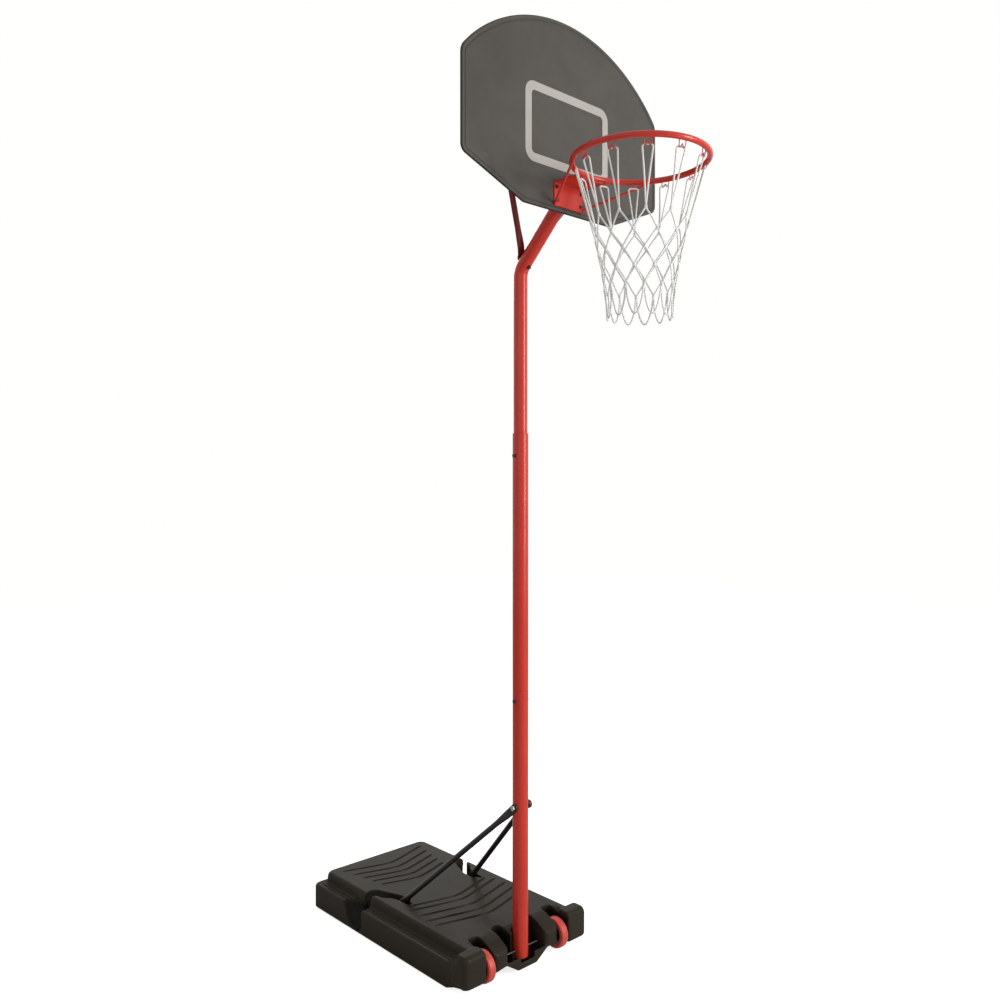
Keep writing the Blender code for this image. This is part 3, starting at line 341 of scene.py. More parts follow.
def mesh_of(name: str, shape: Shape) -> bpy.types.Mesh:
    """A Blender mesh from a shape, with its normals facing outwards.

    Args:
        name: the mesh's name.
        shape: its points and faces.

    Returns:
        The mesh.
    """
    mesh = bpy.data.meshes.new(name)
    mesh.from_pydata(shape.points.tolist(), [], shape.quads.tolist() + [tuple(f) for f in shape.others])
    if shape.uv is not None:
        layer = mesh.uv_layers.new(name="run")
        loops = np.zeros((len(mesh.loops), 2))
        loops[: shape.uv.shape[0] * 4] = shape.uv.reshape(-1, 2)
        layer.data.foreach_set("uv", loops.ravel())
    bm = bmesh.new()
    bm.from_mesh(mesh)
    bmesh.ops.remove_doubles(bm, verts=bm.verts, dist=2e-6)
    bmesh.ops.recalc_face_normals(bm, faces=bm.faces)
    bm.to_mesh(mesh)
    bm.free()
    return mesh


def carved(mesh: bpy.types.Mesh, steps: list[tuple[str, "Shape | bpy.types.Mesh"]]) -> bpy.types.Mesh:
    """A mesh after Boolean steps, worked out and frozen.

    Args:
        mesh: the mesh to start from.
        steps: pairs of "UNION" or "DIFFERENCE" and the shape or mesh to work with.

    Returns:
        The carved mesh.
    """
    body = bpy.data.objects.new("carving", mesh)
    bpy.context.scene.collection.objects.link(body)
    tools = []
    for kind, shape in steps:
        tool = bpy.data.objects.new("tool", mesh_of("tool", shape) if isinstance(shape, Shape) else shape)
        bpy.context.scene.collection.objects.link(tool)
        tool.hide_render = True
        step = body.modifiers.new(kind, "BOOLEAN")
        step.operation, step.solver, step.object = kind, "EXACT", tool
        tools.append(tool)
    done = frozen(body)
    for obj in tools + [body]:
        bpy.data.objects.remove(obj, do_unlink=True)
    return done


def points_of(mesh: bpy.types.Mesh) -> Array:
    """A mesh's points as an array.

    Args:
        mesh: the mesh to read.

    Returns:
        The points, one row each.
    """
    points = np.empty(len(mesh.vertices) * 3)
    mesh.vertices.foreach_get("co", points)
    return points.reshape(-1, 3)


def mark_shade_and_dark_wall(mesh: bpy.types.Mesh, mask: Array) -> None:
    """Writes the point attribute that a plastic finish blends its dark colour by: painted shade on the tank,
    the dark plastic wall on the board.
    """
    mesh.attributes.new(SHADE_AND_DARK_WALL, "FLOAT", "POINT").data.foreach_set("value", mask)


def frozen(obj: bpy.types.Object) -> bpy.types.Mesh:
    """The object's mesh with its modifiers worked out.

    Args:
        obj: an object in the scene.

    Returns:
        A new mesh, as the last modifier leaves it.
    """
    bpy.context.view_layer.update()
    graph = bpy.context.evaluated_depsgraph_get()
    return bpy.data.meshes.new_from_object(obj.evaluated_get(graph))


def moulded(mesh: bpy.types.Mesh, voxel: float, passes: int, keep: float) -> bpy.types.Mesh:
    """A mesh softened as blow moulding leaves it: remeshed, smoothed, then thinned where it is flat.

    Args:
        mesh: the sharp shape.
        voxel: size of the remesh, in metres.
        passes: rounds of smoothing; more make rounder edges.
        keep: share of the faces that stay.

    Returns:
        The softened mesh.
    """
    body = bpy.data.objects.new("moulding", mesh)
    bpy.context.scene.collection.objects.link(body)
    remesh = body.modifiers.new("remesh", "REMESH")
    remesh.mode, remesh.voxel_size, remesh.adaptivity = "VOXEL", voxel, 0.0
    soft = body.modifiers.new("soft", "SMOOTH")
    soft.factor, soft.iterations = 0.5, passes
    thin = body.modifiers.new("thin", "DECIMATE")
    thin.ratio = keep
    done = frozen(body)
    bpy.data.objects.remove(body, do_unlink=True)
    return done


@dataclass
class Piece:
    """One finished piece: its mesh, finish, body, and the CAD nodes that it stands for."""

    name: str
    mesh: bpy.types.Mesh
    finish: "Finish"
    body: Body
    nodes: tuple[str, ...]
    sharp: float = 32.0

    def place(self) -> None:
        """Puts the piece into the scene, dressed and riding on its body."""
        self.mesh.materials.clear()
        self.mesh.materials.append(self.finish.material())
        self.mesh.shade_smooth()
        if self.sharp:
            self.mesh.set_sharp_from_angle(angle=math.radians(self.sharp))
        obj = bpy.data.objects.new(self.name, self.mesh)
        bpy.context.scene.collection.objects.link(obj)
        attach(obj, self.body.value)
        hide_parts(*self.nodes)
        log.info("%s: %d faces", self.name, len(self.mesh.polygons))


# Finishes

Colour = tuple[float, float, float]


class Nodes:
    """A short way to add shader nodes and links to a tree."""

    def __init__(self, tree: bpy.types.NodeTree) -> None:
        """Keeps the tree."""
        self.tree = tree

    def add(self, kind: str, **sockets: object) -> bpy.types.Node:
        """A node with its settings. A keyword sets a property, or sets or links the input of that name.

        Args:
            kind: the node's type.
            sockets: settings; an input's spaces are underscores, or i0, i1 its number.

        Returns:
            The node.
        """
        node = self.tree.nodes.new(kind)
        for key, value in sockets.items():
            if hasattr(node, key):
                setattr(node, key, value)
        for key, value in sockets.items():
            if hasattr(node, key):
                continue
            by_number = key[0] == "i" and key[1:].isdigit()
            socket = node.inputs[int(key[1:]) if by_number else key.replace("_", " ")]
            if isinstance(value, bpy.types.NodeSocket):
                self.tree.links.new(value, socket)
            elif isinstance(value, tuple) and socket.type == "RGBA":
                socket.default_value = (*value, 1.0)
            else:
                socket.default_value = value
        return node

    def blend(self, share: object, low: object, high: object) -> bpy.types.NodeSocket:
        """A colour between two, by a share from 0 to 1.

        Args:
            share: the share of the second colour, a number or a socket.
            low: the colour at 0.
            high: the colour at 1.

        Returns:
            The socket of the mixed colour.
        """
        node = self.add("ShaderNodeMix", data_type="RGBA")
        for index, value in ((0, share), (6, low), (7, high)):
            if isinstance(value, bpy.types.NodeSocket):
                self.tree.links.new(value, node.inputs[index])
            else:
                node.inputs[index].default_value = (*value, 1.0) if isinstance(value, tuple) else value
        return node.outputs[2]

    def spread(self, value: object, low: float, high: float, start: float = 0.0,
               end: float = 1.0) -> bpy.types.NodeSocket:
        """A value moved from the range start to end onto the range low to high."""
        return self.add("ShaderNodeMapRange", Value=value, From_Min=start, From_Max=end, To_Min=low,
                        To_Max=high).outputs[0]


def group_of(name: str, inputs: list[tuple[str, str, float]],
             outputs: list[tuple[str, str]]) -> tuple[bpy.types.NodeTree, Nodes]:
    """An empty shader node group with named sockets, and a helper to fill it.

    Args:
        name: the group's name.
        inputs: (name, socket type, default) of each input.
        outputs: (name, socket type) of each output.

    Returns:
        The group and its helper.
    """
    tree = bpy.data.node_groups.new(name, "ShaderNodeTree")
    for label, kind, default in inputs:
        socket = tree.interface.new_socket(name=label, in_out="INPUT", socket_type=kind)
        if kind == "NodeSocketFloat":
            socket.default_value = default
    for label, kind in outputs:
        tree.interface.new_socket(name=label, in_out="OUTPUT", socket_type=kind)
    return tree, Nodes(tree)


class Effects:
    """The shader node groups that several finishes share, each built once."""

    made: dict[str, bpy.types.NodeTree] = {}

    @classmethod
    def grain(cls) -> bpy.types.NodeTree:
        """Fine surface grain: two sizes of noise as one height, from 0 to 1.

        Returns:
            The node group.
        """
        if "grain" not in cls.made:
            tree, n = group_of("fine_grain", [("Size", "NodeSocketFloat", 0.002)],
                               [("Height", "NodeSocketFloat")])
            source = n.add("NodeGroupInput").outputs["Size"]
            place = n.add("ShaderNodeTexCoord").outputs["Object"]
            scale = n.add("ShaderNodeMath", operation="DIVIDE", i0=1.0, i1=source).outputs[0]
            twice = n.add("ShaderNodeMath", operation="MULTIPLY", i0=scale, i1=2.7).outputs[0]
            coarse = n.add("ShaderNodeTexNoise", Vector=place, Scale=scale, Detail=2.0,
                           Roughness=0.55).outputs["Fac"]
            fine = n.add("ShaderNodeTexNoise", Vector=place, Scale=twice, Detail=1.0).outputs["Fac"]
            both = n.add("ShaderNodeMath", operation="ADD", i0=coarse, i1=fine).outputs[0]
            half = n.add("ShaderNodeMath", operation="MULTIPLY", i0=both, i1=0.5).outputs[0]
            n.tree.links.new(half, n.add("NodeGroupOutput").inputs["Height"])
            cls.made["grain"] = tree
        return cls.made["grain"]

    @classmethod
    def patches(cls) -> bpy.types.NodeTree:
        """Slow unevenness of a surface, from 0 to 1: broad noise broken by a finer one.

        Returns:
            The node group.
        """
        if "patches" not in cls.made:
            tree, n = group_of("soft_patches", [("Size", "NodeSocketFloat", 0.1)],
                               [("Mask", "NodeSocketFloat")])
            source = n.add("NodeGroupInput").outputs["Size"]
            place = n.add("ShaderNodeTexCoord").outputs["Object"]
            scale = n.add("ShaderNodeMath", operation="DIVIDE", i0=1.0, i1=source).outputs[0]
            noise = n.add("ShaderNodeTexNoise", Vector=place, Scale=scale, Detail=4.0, Roughness=0.6,
                          Distortion=0.3)
            mask = n.spread(noise.outputs["Fac"], 0.0, 1.0, 0.32, 0.68)
            n.tree.links.new(mask, n.add("NodeGroupOutput").inputs["Mask"])
            cls.made["patches"] = tree
        return cls.made["patches"]

    @classmethod
    def scuffs(cls) -> bpy.types.NodeTree:
        """Sparse fine scratches, from 0 to 1: thin lines of a stretched wave, kept only in a few patches.

        Returns:
            The node group.
        """
        if "scuffs" not in cls.made:
            tree, n = group_of("scuffs", [("Amount", "NodeSocketFloat", 0.3)], [("Mask", "NodeSocketFloat")])
            amount = n.add("NodeGroupInput").outputs["Amount"]
            place = n.add("ShaderNodeTexCoord").outputs["Object"]
            lines = n.add("ShaderNodeTexVoronoi", Vector=place, feature="DISTANCE_TO_EDGE",
                          Scale=38.0).outputs["Distance"]
            thin = n.spread(lines, 1.0, 0.0, 0.0, 0.012)
            where = n.add("ShaderNodeTexNoise", Vector=place, Scale=9.0, Detail=3.0).outputs["Fac"]
            near = n.spread(where, 0.0, 1.0, 0.55, 0.7)
            both = n.add("ShaderNodeMath", operation="MULTIPLY", i0=thin, i1=near).outputs[0]
            out = n.add("ShaderNodeMath", operation="MULTIPLY", i0=both, i1=amount).outputs[0]
            n.tree.links.new(out, n.add("NodeGroupOutput").inputs["Mask"])
            cls.made["scuffs"] = tree
        return cls.made["scuffs"]


@dataclass(frozen=True)
class Finish:
    """What every finish has: a name, the record's slot and two colours. Each kind adds its own nodes."""

    name: str
    slot: str
    colour: Colour
    deep: Colour

    def material(self) -> bpy.types.Material:
        """The material, made on first use.

        Returns:
            The material of this name.
        """
        made = bpy.data.materials.get(self.name)
        if made is None:
            made = bpy.data.materials.new(self.name)
            made.use_nodes = True
            made.diffuse_color = (*self.colour, 1.0)
            self.dress(Nodes(made.node_tree), made.node_tree.nodes["Principled BSDF"])
        return made

    def group(self, n: Nodes, tree: bpy.types.NodeTree, value: float) -> bpy.types.NodeSocket:
        """A shared effect's first output, with its one input set.

        Args:
            n: the helper of the material's tree.
            tree: the effect.
            value: what its input is set to.

        Returns:
            The effect's output in this material.
        """
        node = n.add("ShaderNodeGroup")
        node.node_tree = tree
        node.inputs[0].default_value = value
        return node.outputs[0]

    def bump(self, n: Nodes, height: bpy.types.NodeSocket, depth: float, shader: bpy.types.Node) -> None:
        """Bumps the shader's normal by a height, to a depth in metres."""
        node = n.add("ShaderNodeBump", Height=height, Distance=depth, Strength=1.0)
        n.tree.links.new(node.outputs[0], shader.inputs["Normal"])

    def dress(self, n: Nodes, shader: bpy.types.Node) -> None:
        """Fills the material; each kind of finish has its own."""
        raise NotImplementedError


@dataclass(frozen=True)
class Paint(Finish):
    """Powder coat: an even colour with a slight orange peel and a clear, soft gloss."""

    gloss: float = 0.3
    peel: float = 0.00004
    coat: float = 0.35
    specular: float = 0.3

    def dress(self, n: Nodes, shader: bpy.types.Node) -> None:
        """Colour and gloss vary a little in broad patches; the peel is a fine bump.

        Args:
            n: the helper of the material's tree.
            shader: its Principled BSDF.
        """
        patches = self.group(n, Effects.patches(), 0.16)
        n.tree.links.new(n.blend(patches, self.colour, self.deep), shader.inputs["Base Color"])
        n.tree.links.new(n.spread(patches, self.gloss - 0.03, self.gloss + 0.06), shader.inputs["Roughness"])
        shader.inputs["Specular IOR Level"].default_value = self.specular
        shader.inputs["Coat Weight"].default_value = self.coat
        shader.inputs["Coat Roughness"].default_value = 0.16
        self.bump(n, self.group(n, Effects.grain(), 0.0026), self.peel, shader)


@dataclass(frozen=True)
class Plastic(Finish):
    """Moulded plastic: a fine grain, patches of unlike gloss, a few light scuffs, and a dark colour at marked
    points: painted shade in the tank's hollows, dark plastic on the board's wall.
    """

    rough: float = 0.5
    grain: float = 0.0016
    depth: float = 0.00006
    scuffs: float = 0.25
    specular: float = 0.5
    coat: float = 0.0
    # Colour at marked points: painted shade in the tank's hollows, the dark plastic of the board's wall.
    dark: Colour | None = None

    def dress(self, n: Nodes, shader: bpy.types.Node) -> None:
        """Patches move colour and gloss; scuffs lighten thin lines; marked places take the dark colour:
        painted shade in the tank's hollows, dark plastic on the board's wall.

        Args:
            n: the helper of the material's tree.
            shader: its Principled BSDF.
        """
        patches = self.group(n, Effects.patches(), 0.11)
        scuffs = self.group(n, Effects.scuffs(), self.scuffs)
        base = n.blend(patches, self.colour, self.deep)
        if self.dark:
            # Painted shade on the tank, dark plastic on the board: blended in by the marked points.
            places = n.add("ShaderNodeAttribute", attribute_name=SHADE_AND_DARK_WALL).outputs["Fac"]
            base = n.blend(places, base, self.dark)
        pale = tuple(min(1.0, c * 1.9 + 0.02) for c in self.colour)
        n.tree.links.new(n.blend(scuffs, base, pale), shader.inputs["Base Color"])
        rough = n.spread(patches, self.rough - 0.05, self.rough + 0.06)
        n.tree.links.new(rough, shader.inputs["Roughness"])
        shader.inputs["Specular IOR Level"].default_value = self.specular
        shader.inputs["Coat Weight"].default_value = self.coat
        shader.inputs["Coat Roughness"].default_value = 0.16
        self.bump(n, self.group(n, Effects.grain(), self.grain), self.depth, shader)


@dataclass(frozen=True)
class Metal(Finish):
    """Zinc-plated steel: bright, with clouds of duller plating."""

    def dress(self, n: Nodes, shader: bpy.types.Node) -> None:
        """Clouds of plating move colour and roughness.

        Args:
            n: the helper of the material's tree.
            shader: its Principled BSDF.
        """
        clouds = self.group(n, Effects.patches(), 0.006)
        n.tree.links.new(n.blend(clouds, self.colour, self.deep), shader.inputs["Base Color"])
        n.tree.links.new(n.spread(clouds, 0.26, 0.42), shader.inputs["Roughness"])
        shader.inputs["Metallic"].default_value = 1.0
        self.bump(n, self.group(n, Effects.grain(), 0.0009), 0.00002, shader)


@dataclass(frozen=True)
class Cord(Finish):
    """Braided cord: strands that cross as two slanted waves along the piece's own UV map."""

    def dress(self, n: Nodes, shader: bpy.types.Node) -> None:
        """The two waves' product is the height of the braid; the valleys between strands are darker, a
        painted shade.

        Args:
            n: the helper of the material's tree.
            shader: its Principled BSDF.
        """
        place = n.add("ShaderNodeTexCoord").outputs["UV"]
        waves = []
        for lean in (-0.8, 0.8):
            tilted = n.add("ShaderNodeMapping", Vector=place)
            tilted.inputs["Rotation"].default_value = (0, 0, lean)
            waves.append(n.add("ShaderNodeTexWave", Vector=tilted.outputs[0], Scale=1.0,
                               Distortion=0.0).outputs["Fac"])
        braid = n.add("ShaderNodeMath", operation="MAXIMUM", i0=waves[0], i1=waves[1]).outputs[0]
        patches = self.group(n, Effects.patches(), 0.05)
        base = n.blend(patches, self.colour, self.deep)
        # Painted shade: the valleys between strands take a darker colour.
        shade = tuple(c * 0.86 for c in self.colour)
        n.tree.links.new(n.blend(n.spread(braid, 0.0, 1.0, 0.3, 0.9), shade, base),
                         shader.inputs["Base Color"])
        shader.inputs["Roughness"].default_value = 0.85
        shader.inputs["Sheen Weight"].default_value = 0.25
        self.bump(n, braid, 0.0003, shader)


RED = Paint("red_powder_coat", "paint_red", (0.62, 0.036, 0.018), (0.56, 0.030, 0.015), coat=0.12)
DARK_RED = Paint("dark_red_powder_coat", "paint_dark_red", (0.17, 0.009, 0.009), (0.14, 0.007, 0.007),
                 gloss=0.4, coat=0.1)
BLACK = Paint("black_powder_coat", "paint_black", (0.013, 0.0125, 0.011), (0.010, 0.009, 0.008), gloss=0.36,
              coat=0.1)
# The tank's dark colour is painted shade for its hand holds, wheel wells and the pole's recess.
TANK = Plastic("tank_polyethylene", "tank_plastic", (0.036, 0.0300, 0.0215), (0.031, 0.0255, 0.018),
               rough=0.33, specular=0.05, coat=0.05, dark=(0.010, 0.009, 0.0075))
BOARD = Plastic("board_moulding", "board_plastic", (0.078, 0.070, 0.061), (0.071, 0.064, 0.056), rough=0.62,
                scuffs=0.06, depth=0.00004, specular=0.3, dark=(0.020, 0.019, 0.016))
PRINT = Plastic("board_line_print", "board_print", (0.45, 0.425, 0.385), (0.42, 0.395, 0.36), rough=0.6,
                scuffs=0.04)
TREAD = Plastic("wheel_tread", "wheel_red", (0.72, 0.085, 0.06), (0.62, 0.07, 0.05), rough=0.4, scuffs=0.3)
# The hub's near-black colour is painted shade for the wheel's recessed sides.
SHADED_HUB = Plastic("wheel_hub", "hub_plastic", (0.03, 0.03, 0.03), (0.022, 0.022, 0.022), rough=0.45)
CAP = Plastic("black_cap", "cap_plastic", (0.016, 0.016, 0.016), (0.012, 0.012, 0.012), rough=0.35,
              scuffs=0.1)
RUBBER = Plastic("bung_rubber", "bung_rubber", (0.018, 0.018, 0.018), (0.013, 0.013, 0.013), rough=0.75,
                 scuffs=0.1)
ZINC = Metal("zinc_plated_steel", "zinc_steel", (0.50, 0.50, 0.49), (0.38, 0.38, 0.37))
DARK_STEEL = Metal("blackened_steel", "zinc_steel", (0.075, 0.07, 0.068), (0.045, 0.042, 0.04))
NET = Cord("net_braid", "net_cord", (0.95, 0.935, 0.905), (0.91, 0.895, 0.865))


# Fastenings


@dataclass(frozen=True)
class Screw:
    """A hexagon bolt: bearing face at place, head against the axis, shank along it."""

    place: Vec
    axis: Vec
    grip: float
    radius: float
    head: float = 0.0
    height: float = 0.0
    thread: float = 0.006

    def shape(self) -> Shape:
        """Radius as a function of height: a chamfered hexagon, a shank and rings of thread.

        Returns:
            The closed shape.
        """
        wide, tall, r = self.head or self.radius * 1.75, self.height or self.radius * 1.3, self.radius
        cap = [(0, -tall), (wide * 0.5, -tall), (wide * 0.86, -tall), (wide * 0.9, -tall * 0.95),
               (wide * 0.97, -tall * 0.86), (wide * 1.01, -tall * 0.76), (wide * 1.01, -tall * 0.16),
               (wide * 0.96, 0)]
        pitch, count = 0.001, int(self.thread / 0.001)
        start = self.grip - count * pitch
        ridges = [(r * s, start + (k + t) * pitch) for k in range(count) for s,
                  t in ((0.88, 0.1), (0.99, 0.5))]
        rest = [(r, 0.0), (r, start)] + ridges + [(r * 0.85, self.grip - 0.0003), (r * 0.7, self.grip),
                                                  (0, self.grip)]
        return turned(cap + rest, self.place, self.axis, 48, flats=wide)


@dataclass(frozen=True)
class Nut:
    """A hexagon nut on a shank: bearing face at place, body along the axis."""

    place: Vec
    axis: Vec
    radius: float
    height: float

    def shape(self) -> Shape:
        """A ring whose outside is a hexagon chamfered at the top: radius as a function of height.

        Returns:
            The closed shape.
        """
        wide, tall, bore = self.radius * 1.8, self.height, self.radius + 0.0002
        profile = [(bore, 0), (wide * 0.95, 0), (wide * 1.01, tall * 0.1), (wide * 1.01, tall * 0.76),
                   (wide * 0.97, tall * 0.87), (wide * 0.88, tall), (bore * 1.15, tall), (bore, tall * 0.93)]
        return turned(profile, self.place, self.axis, 48, ring=True, flats=wide)


@dataclass
class FlatBar:
    """A round bar whose two ends are pressed flat round a bolt."""

    ends: tuple[Vec, Vec]
    normals: tuple[Vec, Vec]
    ways: tuple[Vec, Vec]
    lead: tuple[float, float]
    thick: float
    wide: float
    radius: float

    def shape(self, steps: int = 32) -> Shape:
        """Its section |a / thick|^n + |b / wide|^n = 1 turns from flat, n 3, to round, n 2.

        Args:
            steps: points round the bar.

        Returns:
            The bar, with half-round tips about the two bolts.
        """
        a, b = (np.asarray(end, float) for end in self.ends)
        ways = [np.asarray(way, float) / np.linalg.norm(way) for way in self.ways]
        tip = np.cos(np.linspace(0, math.pi / 2, 8))
        start, end = a + ways[0] * self.lead[0], b - ways[1] * self.lead[1]
        t = np.linspace(0, 1, 12)
        mix = t * t * (3 - 2 * t)
        line = (end - start) * 0.13
        flat = np.full(9, self.wide)
        flat[:8] = self.wide * np.sqrt(np.maximum(1 - tip ** 2, 0.004))
        head = np.vstack([a - np.outer(tip, ways[0]) * self.wide, a + ways[0] * self.wide * 0.9,
                          start + np.outer(t, line)])
        foot = np.vstack([b + np.outer(tip, ways[1]) * self.wide, b - ways[1] * self.wide * 0.9,
                          end - np.outer(t, line)])
        half = np.concatenate([np.full(9, self.thick), self.thick + (self.radius - self.thick) * mix])
        side = np.concatenate([flat, self.wide + (self.radius - self.wide) * mix])
        power = np.concatenate([np.full(9, 3.0), 3.0 - mix])
        centre = np.vstack([head, foot[::-1]])
        half, side, power = (np.concatenate([v, v[::-1]])[:, None, None] for v in (half, side, power))
        along = np.gradient(centre, axis=0)
        along /= np.linalg.norm(along, axis=1)[:, None]
        count = len(head)
        normal = np.repeat(np.asarray(self.normals, float), count, axis=0)
        normal -= along * (along * normal).sum(1)[:, None]
        normal /= np.linalg.norm(normal, axis=1)[:, None]
        across = np.cross(along, normal)
        turn = ((np.arange(steps) + 0.5) * TAU / steps)[None, :, None]
        c, s = np.cos(turn), np.sin(turn)
        rows = centre[:, None] + np.sign(c) * np.abs(c) ** (2 / power) * half * normal[:, None]
        return skin(rows + np.sign(s) * np.abs(s) ** (2 / power) * side * across[:, None])


# Tank


@dataclass
class Tank:
    """The water tank, one blow-moulded hollow with lugs, wells, channels, hand holds and grip grooves."""

    length: float = 0.721
    width: float = 0.4468
    deck: float = 0.103
    ledge: float = 0.072
    setback: float = 0.036
    front_z: float = 0.0215
    lug_in: float = 0.153
    slot_in: float = 0.118
    axle_z: float = 0.0455
    bung_x: float = 0.085
    groove: float = 0.0050
    groove_bend: float = 0.02
    channel_floor: float = 0.046
    hold_depth: float = 0.044
    hold_reach: float = 0.0465
    hold_foot: float = 0.006
    hold_tall: float = 0.076
    rear_grooves: tuple[tuple[float, float], ...] = (
        (0.1527, 0.587), (0.1430, 0.548), (0.1340, 0.512), (0.1265, 0.477), (0.1190, 0.442))
    front_grooves: tuple[tuple[float, float], ...] = (
        (0.1430, 0.2665), (0.1600, 0.238), (0.1650, 0.196), (0.1690, 0.157), (0.1640, 0.122))

    @property
    def half(self) -> float:
        """Half of the width."""
        return self.width / 2

    @property
    def rear(self) -> float:
        """The rear wall, behind the pole's axis."""
        return self.length - self.setback

    def level(self, z: float, side: float) -> Array:
        """The outline at a height, set in by side at the two walls and by about half of it at the rear.

        Args:
            z: the height.
            side: how far the walls are set in.

        Returns:
            The outline's points, one row each.
        """
        front, rear, wide = at(-0.030 + side * 0.12), at(self.rear - side * 0.47), self.half - side
        corners = [(wide, front, 0.009), (wide, rear, 0.019), (-wide, rear, 0.019), (-wide, front, 0.009)]
        return lift(rounded(corners), Plane.XY, z)

    def shell(self) -> Shape:
        """The outside before its cuts: a loft of levels over wall, ledge, groove, thin ridge and deck.

        Returns:
            The closed shape.
        """
        ledge, deck = self.ledge, self.deck
        profile = [(0.0, 0.005), (0.0045, 0.0), (ledge - 0.006, 0.0), (ledge - 0.0018, 0.0022),
                   (ledge, 0.007), (ledge, 0.0135), (ledge - 0.0036, 0.0165), (ledge, 0.0192),
                   (ledge + 0.0022, 0.0222), (ledge - 0.0016, 0.0262), (ledge + 0.0015, 0.0305),
                   (ledge + 0.008, 0.0325), (deck - 0.0085, 0.0345), (deck - 0.0028, 0.0372), (deck, 0.0435)]
        return skin(np.stack([self.level(z, side) for z, side in profile]))

    def sweep(self, share: Array) -> Array:
        """Height of the hollow curve behind an outer lug: ledge + rise (1 - s)^2.6, over s from 0 to 1."""
        return self.ledge - 0.0010 + (self.deck + 0.002 - self.ledge) * (1 - share) ** 2.6

    def lug(self) -> list[Shape]:
        """The right outer lug, drawn in at both ends, and the foot of its curve on the ledge.

        Returns:
            The lug and the foot of its curve.
        """
        low, top, back, rows = self.front_z, self.deck + 0.001, 0.026, []
        share = np.linspace(0, 1, 25)
        curve = np.stack([0.004 + 0.052 * share, self.sweep(share)], 1)
        near = curve[curve[:, 0] < back][::-1]
        ends = ((self.lug_in, 0.0035), (self.lug_in + 0.002, 0.0012), (self.lug_in + 0.005, 0),
                (self.half - 0.012, 0), (self.half - 0.007, 0.0011), (self.half - 0.003, 0.0034),
                (self.half, 0.0068), (self.half + 0.002, 0.011))
        for x, s in ends:
            front = rounded([(0.004, top - s, 0), (-self.setback + s, top - s, 0.015),
                             (-self.setback + s, low + s, 0.006), (back - s, low + s, 0.001),
                             (back - s, self.ledge, 0)])
            side = np.vstack([front[1:], near - (s, s)])
            rows.append(lift(side + (POLE, 0), Plane.YZ, x))
        foot = np.vstack([curve[curve[:, 0] > back - 0.010],
                          [(0.056, self.ledge - 0.006), (back - 0.010, self.ledge - 0.006)]])
        return [skin(np.stack(rows)), pulled(foot + (POLE, 0), Plane.YZ, self.lug_in + 0.003,
                                             self.half - 0.0035)]

    def front_slope(self) -> Shape:
        """Cutter over the slope of the inner lugs, between the wheels.

        Returns:
            The cutter.
        """
        profile = [(-0.06, 0.028), (-0.030, 0.034), (-0.0302, 0.065), (-0.0286, 0.0725), (-0.0242, 0.0782),
                   (-0.012, 0.0855), (0.004, 0.0942), (0.018, 0.1000), (0.030, 0.1027),
                   (0.042, self.deck + 0.0005), (0.042, OVER_DECK), (-0.06, OVER_DECK)]
        outline = np.array([(at(y), z) for y, z in profile])
        return pulled(outline, Plane.YZ, -self.lug_in - 0.01, self.lug_in + 0.01)

    def belly_line(self) -> Array:
        """The underside of the front, from left to right: low under the pole, high beside it.

        Returns:
            Pairs of X and Z.
        """
        half = [(-0.26, self.front_z), (-self.lug_in, self.front_z), (-self.slot_in, 0.030), (-0.076, 0.035),
                (-0.034, 0.0077)]
        return np.array(half + [(-x, z) for x, z in half[::-1]])

    def belly(self) -> Shape:
        """Cutter under the raised front: one outline whose heights shrink towards the rear.

        Returns:
            The cutter.
        """
        top, rows = self.belly_line(), []
        for y, share in ((-0.07, 1.0), (-0.012, 1.0), (0.014, 0.72), (0.045, 0.12), (0.074, 0.0)):
            over = lift(top * (1, share) - (0, 0 if share else 0.002), Plane.XZ, at(y))
            rows.append(np.vstack([[(-0.26, at(y), -0.02)], over, [(0.26, at(y), -0.02)]]))
        return skin(np.stack(rows))

    def wells(self) -> list[Shape]:
        """Cutters of the right wheel's well and the slot over it.

        Returns:
            The two cutters.
        """
        t = np.linspace(0, 0.62, 8)
        arc = np.stack([0.0465 * np.cos(t), self.axle_z + 0.0465 * np.sin(t)], 1)
        outline = np.vstack([[(-0.07, -0.02), (0.0465, -0.02)], arc,
                             [(0.0378, 0.078), (-0.07, 0.078)]]) + (POLE, 0)
        slot = rounded([(self.slot_in, at(-0.07), 0), (self.lug_in, at(-0.07), 0),
                        (self.lug_in, at(0.0460), 0.0125), (self.slot_in, at(0.0460), 0.0125)])
        return [pulled(outline, Plane.YZ, self.slot_in, self.lug_in + 0.0002),
                pulled(slot, Plane.XY, 0.07, OVER_DECK)]

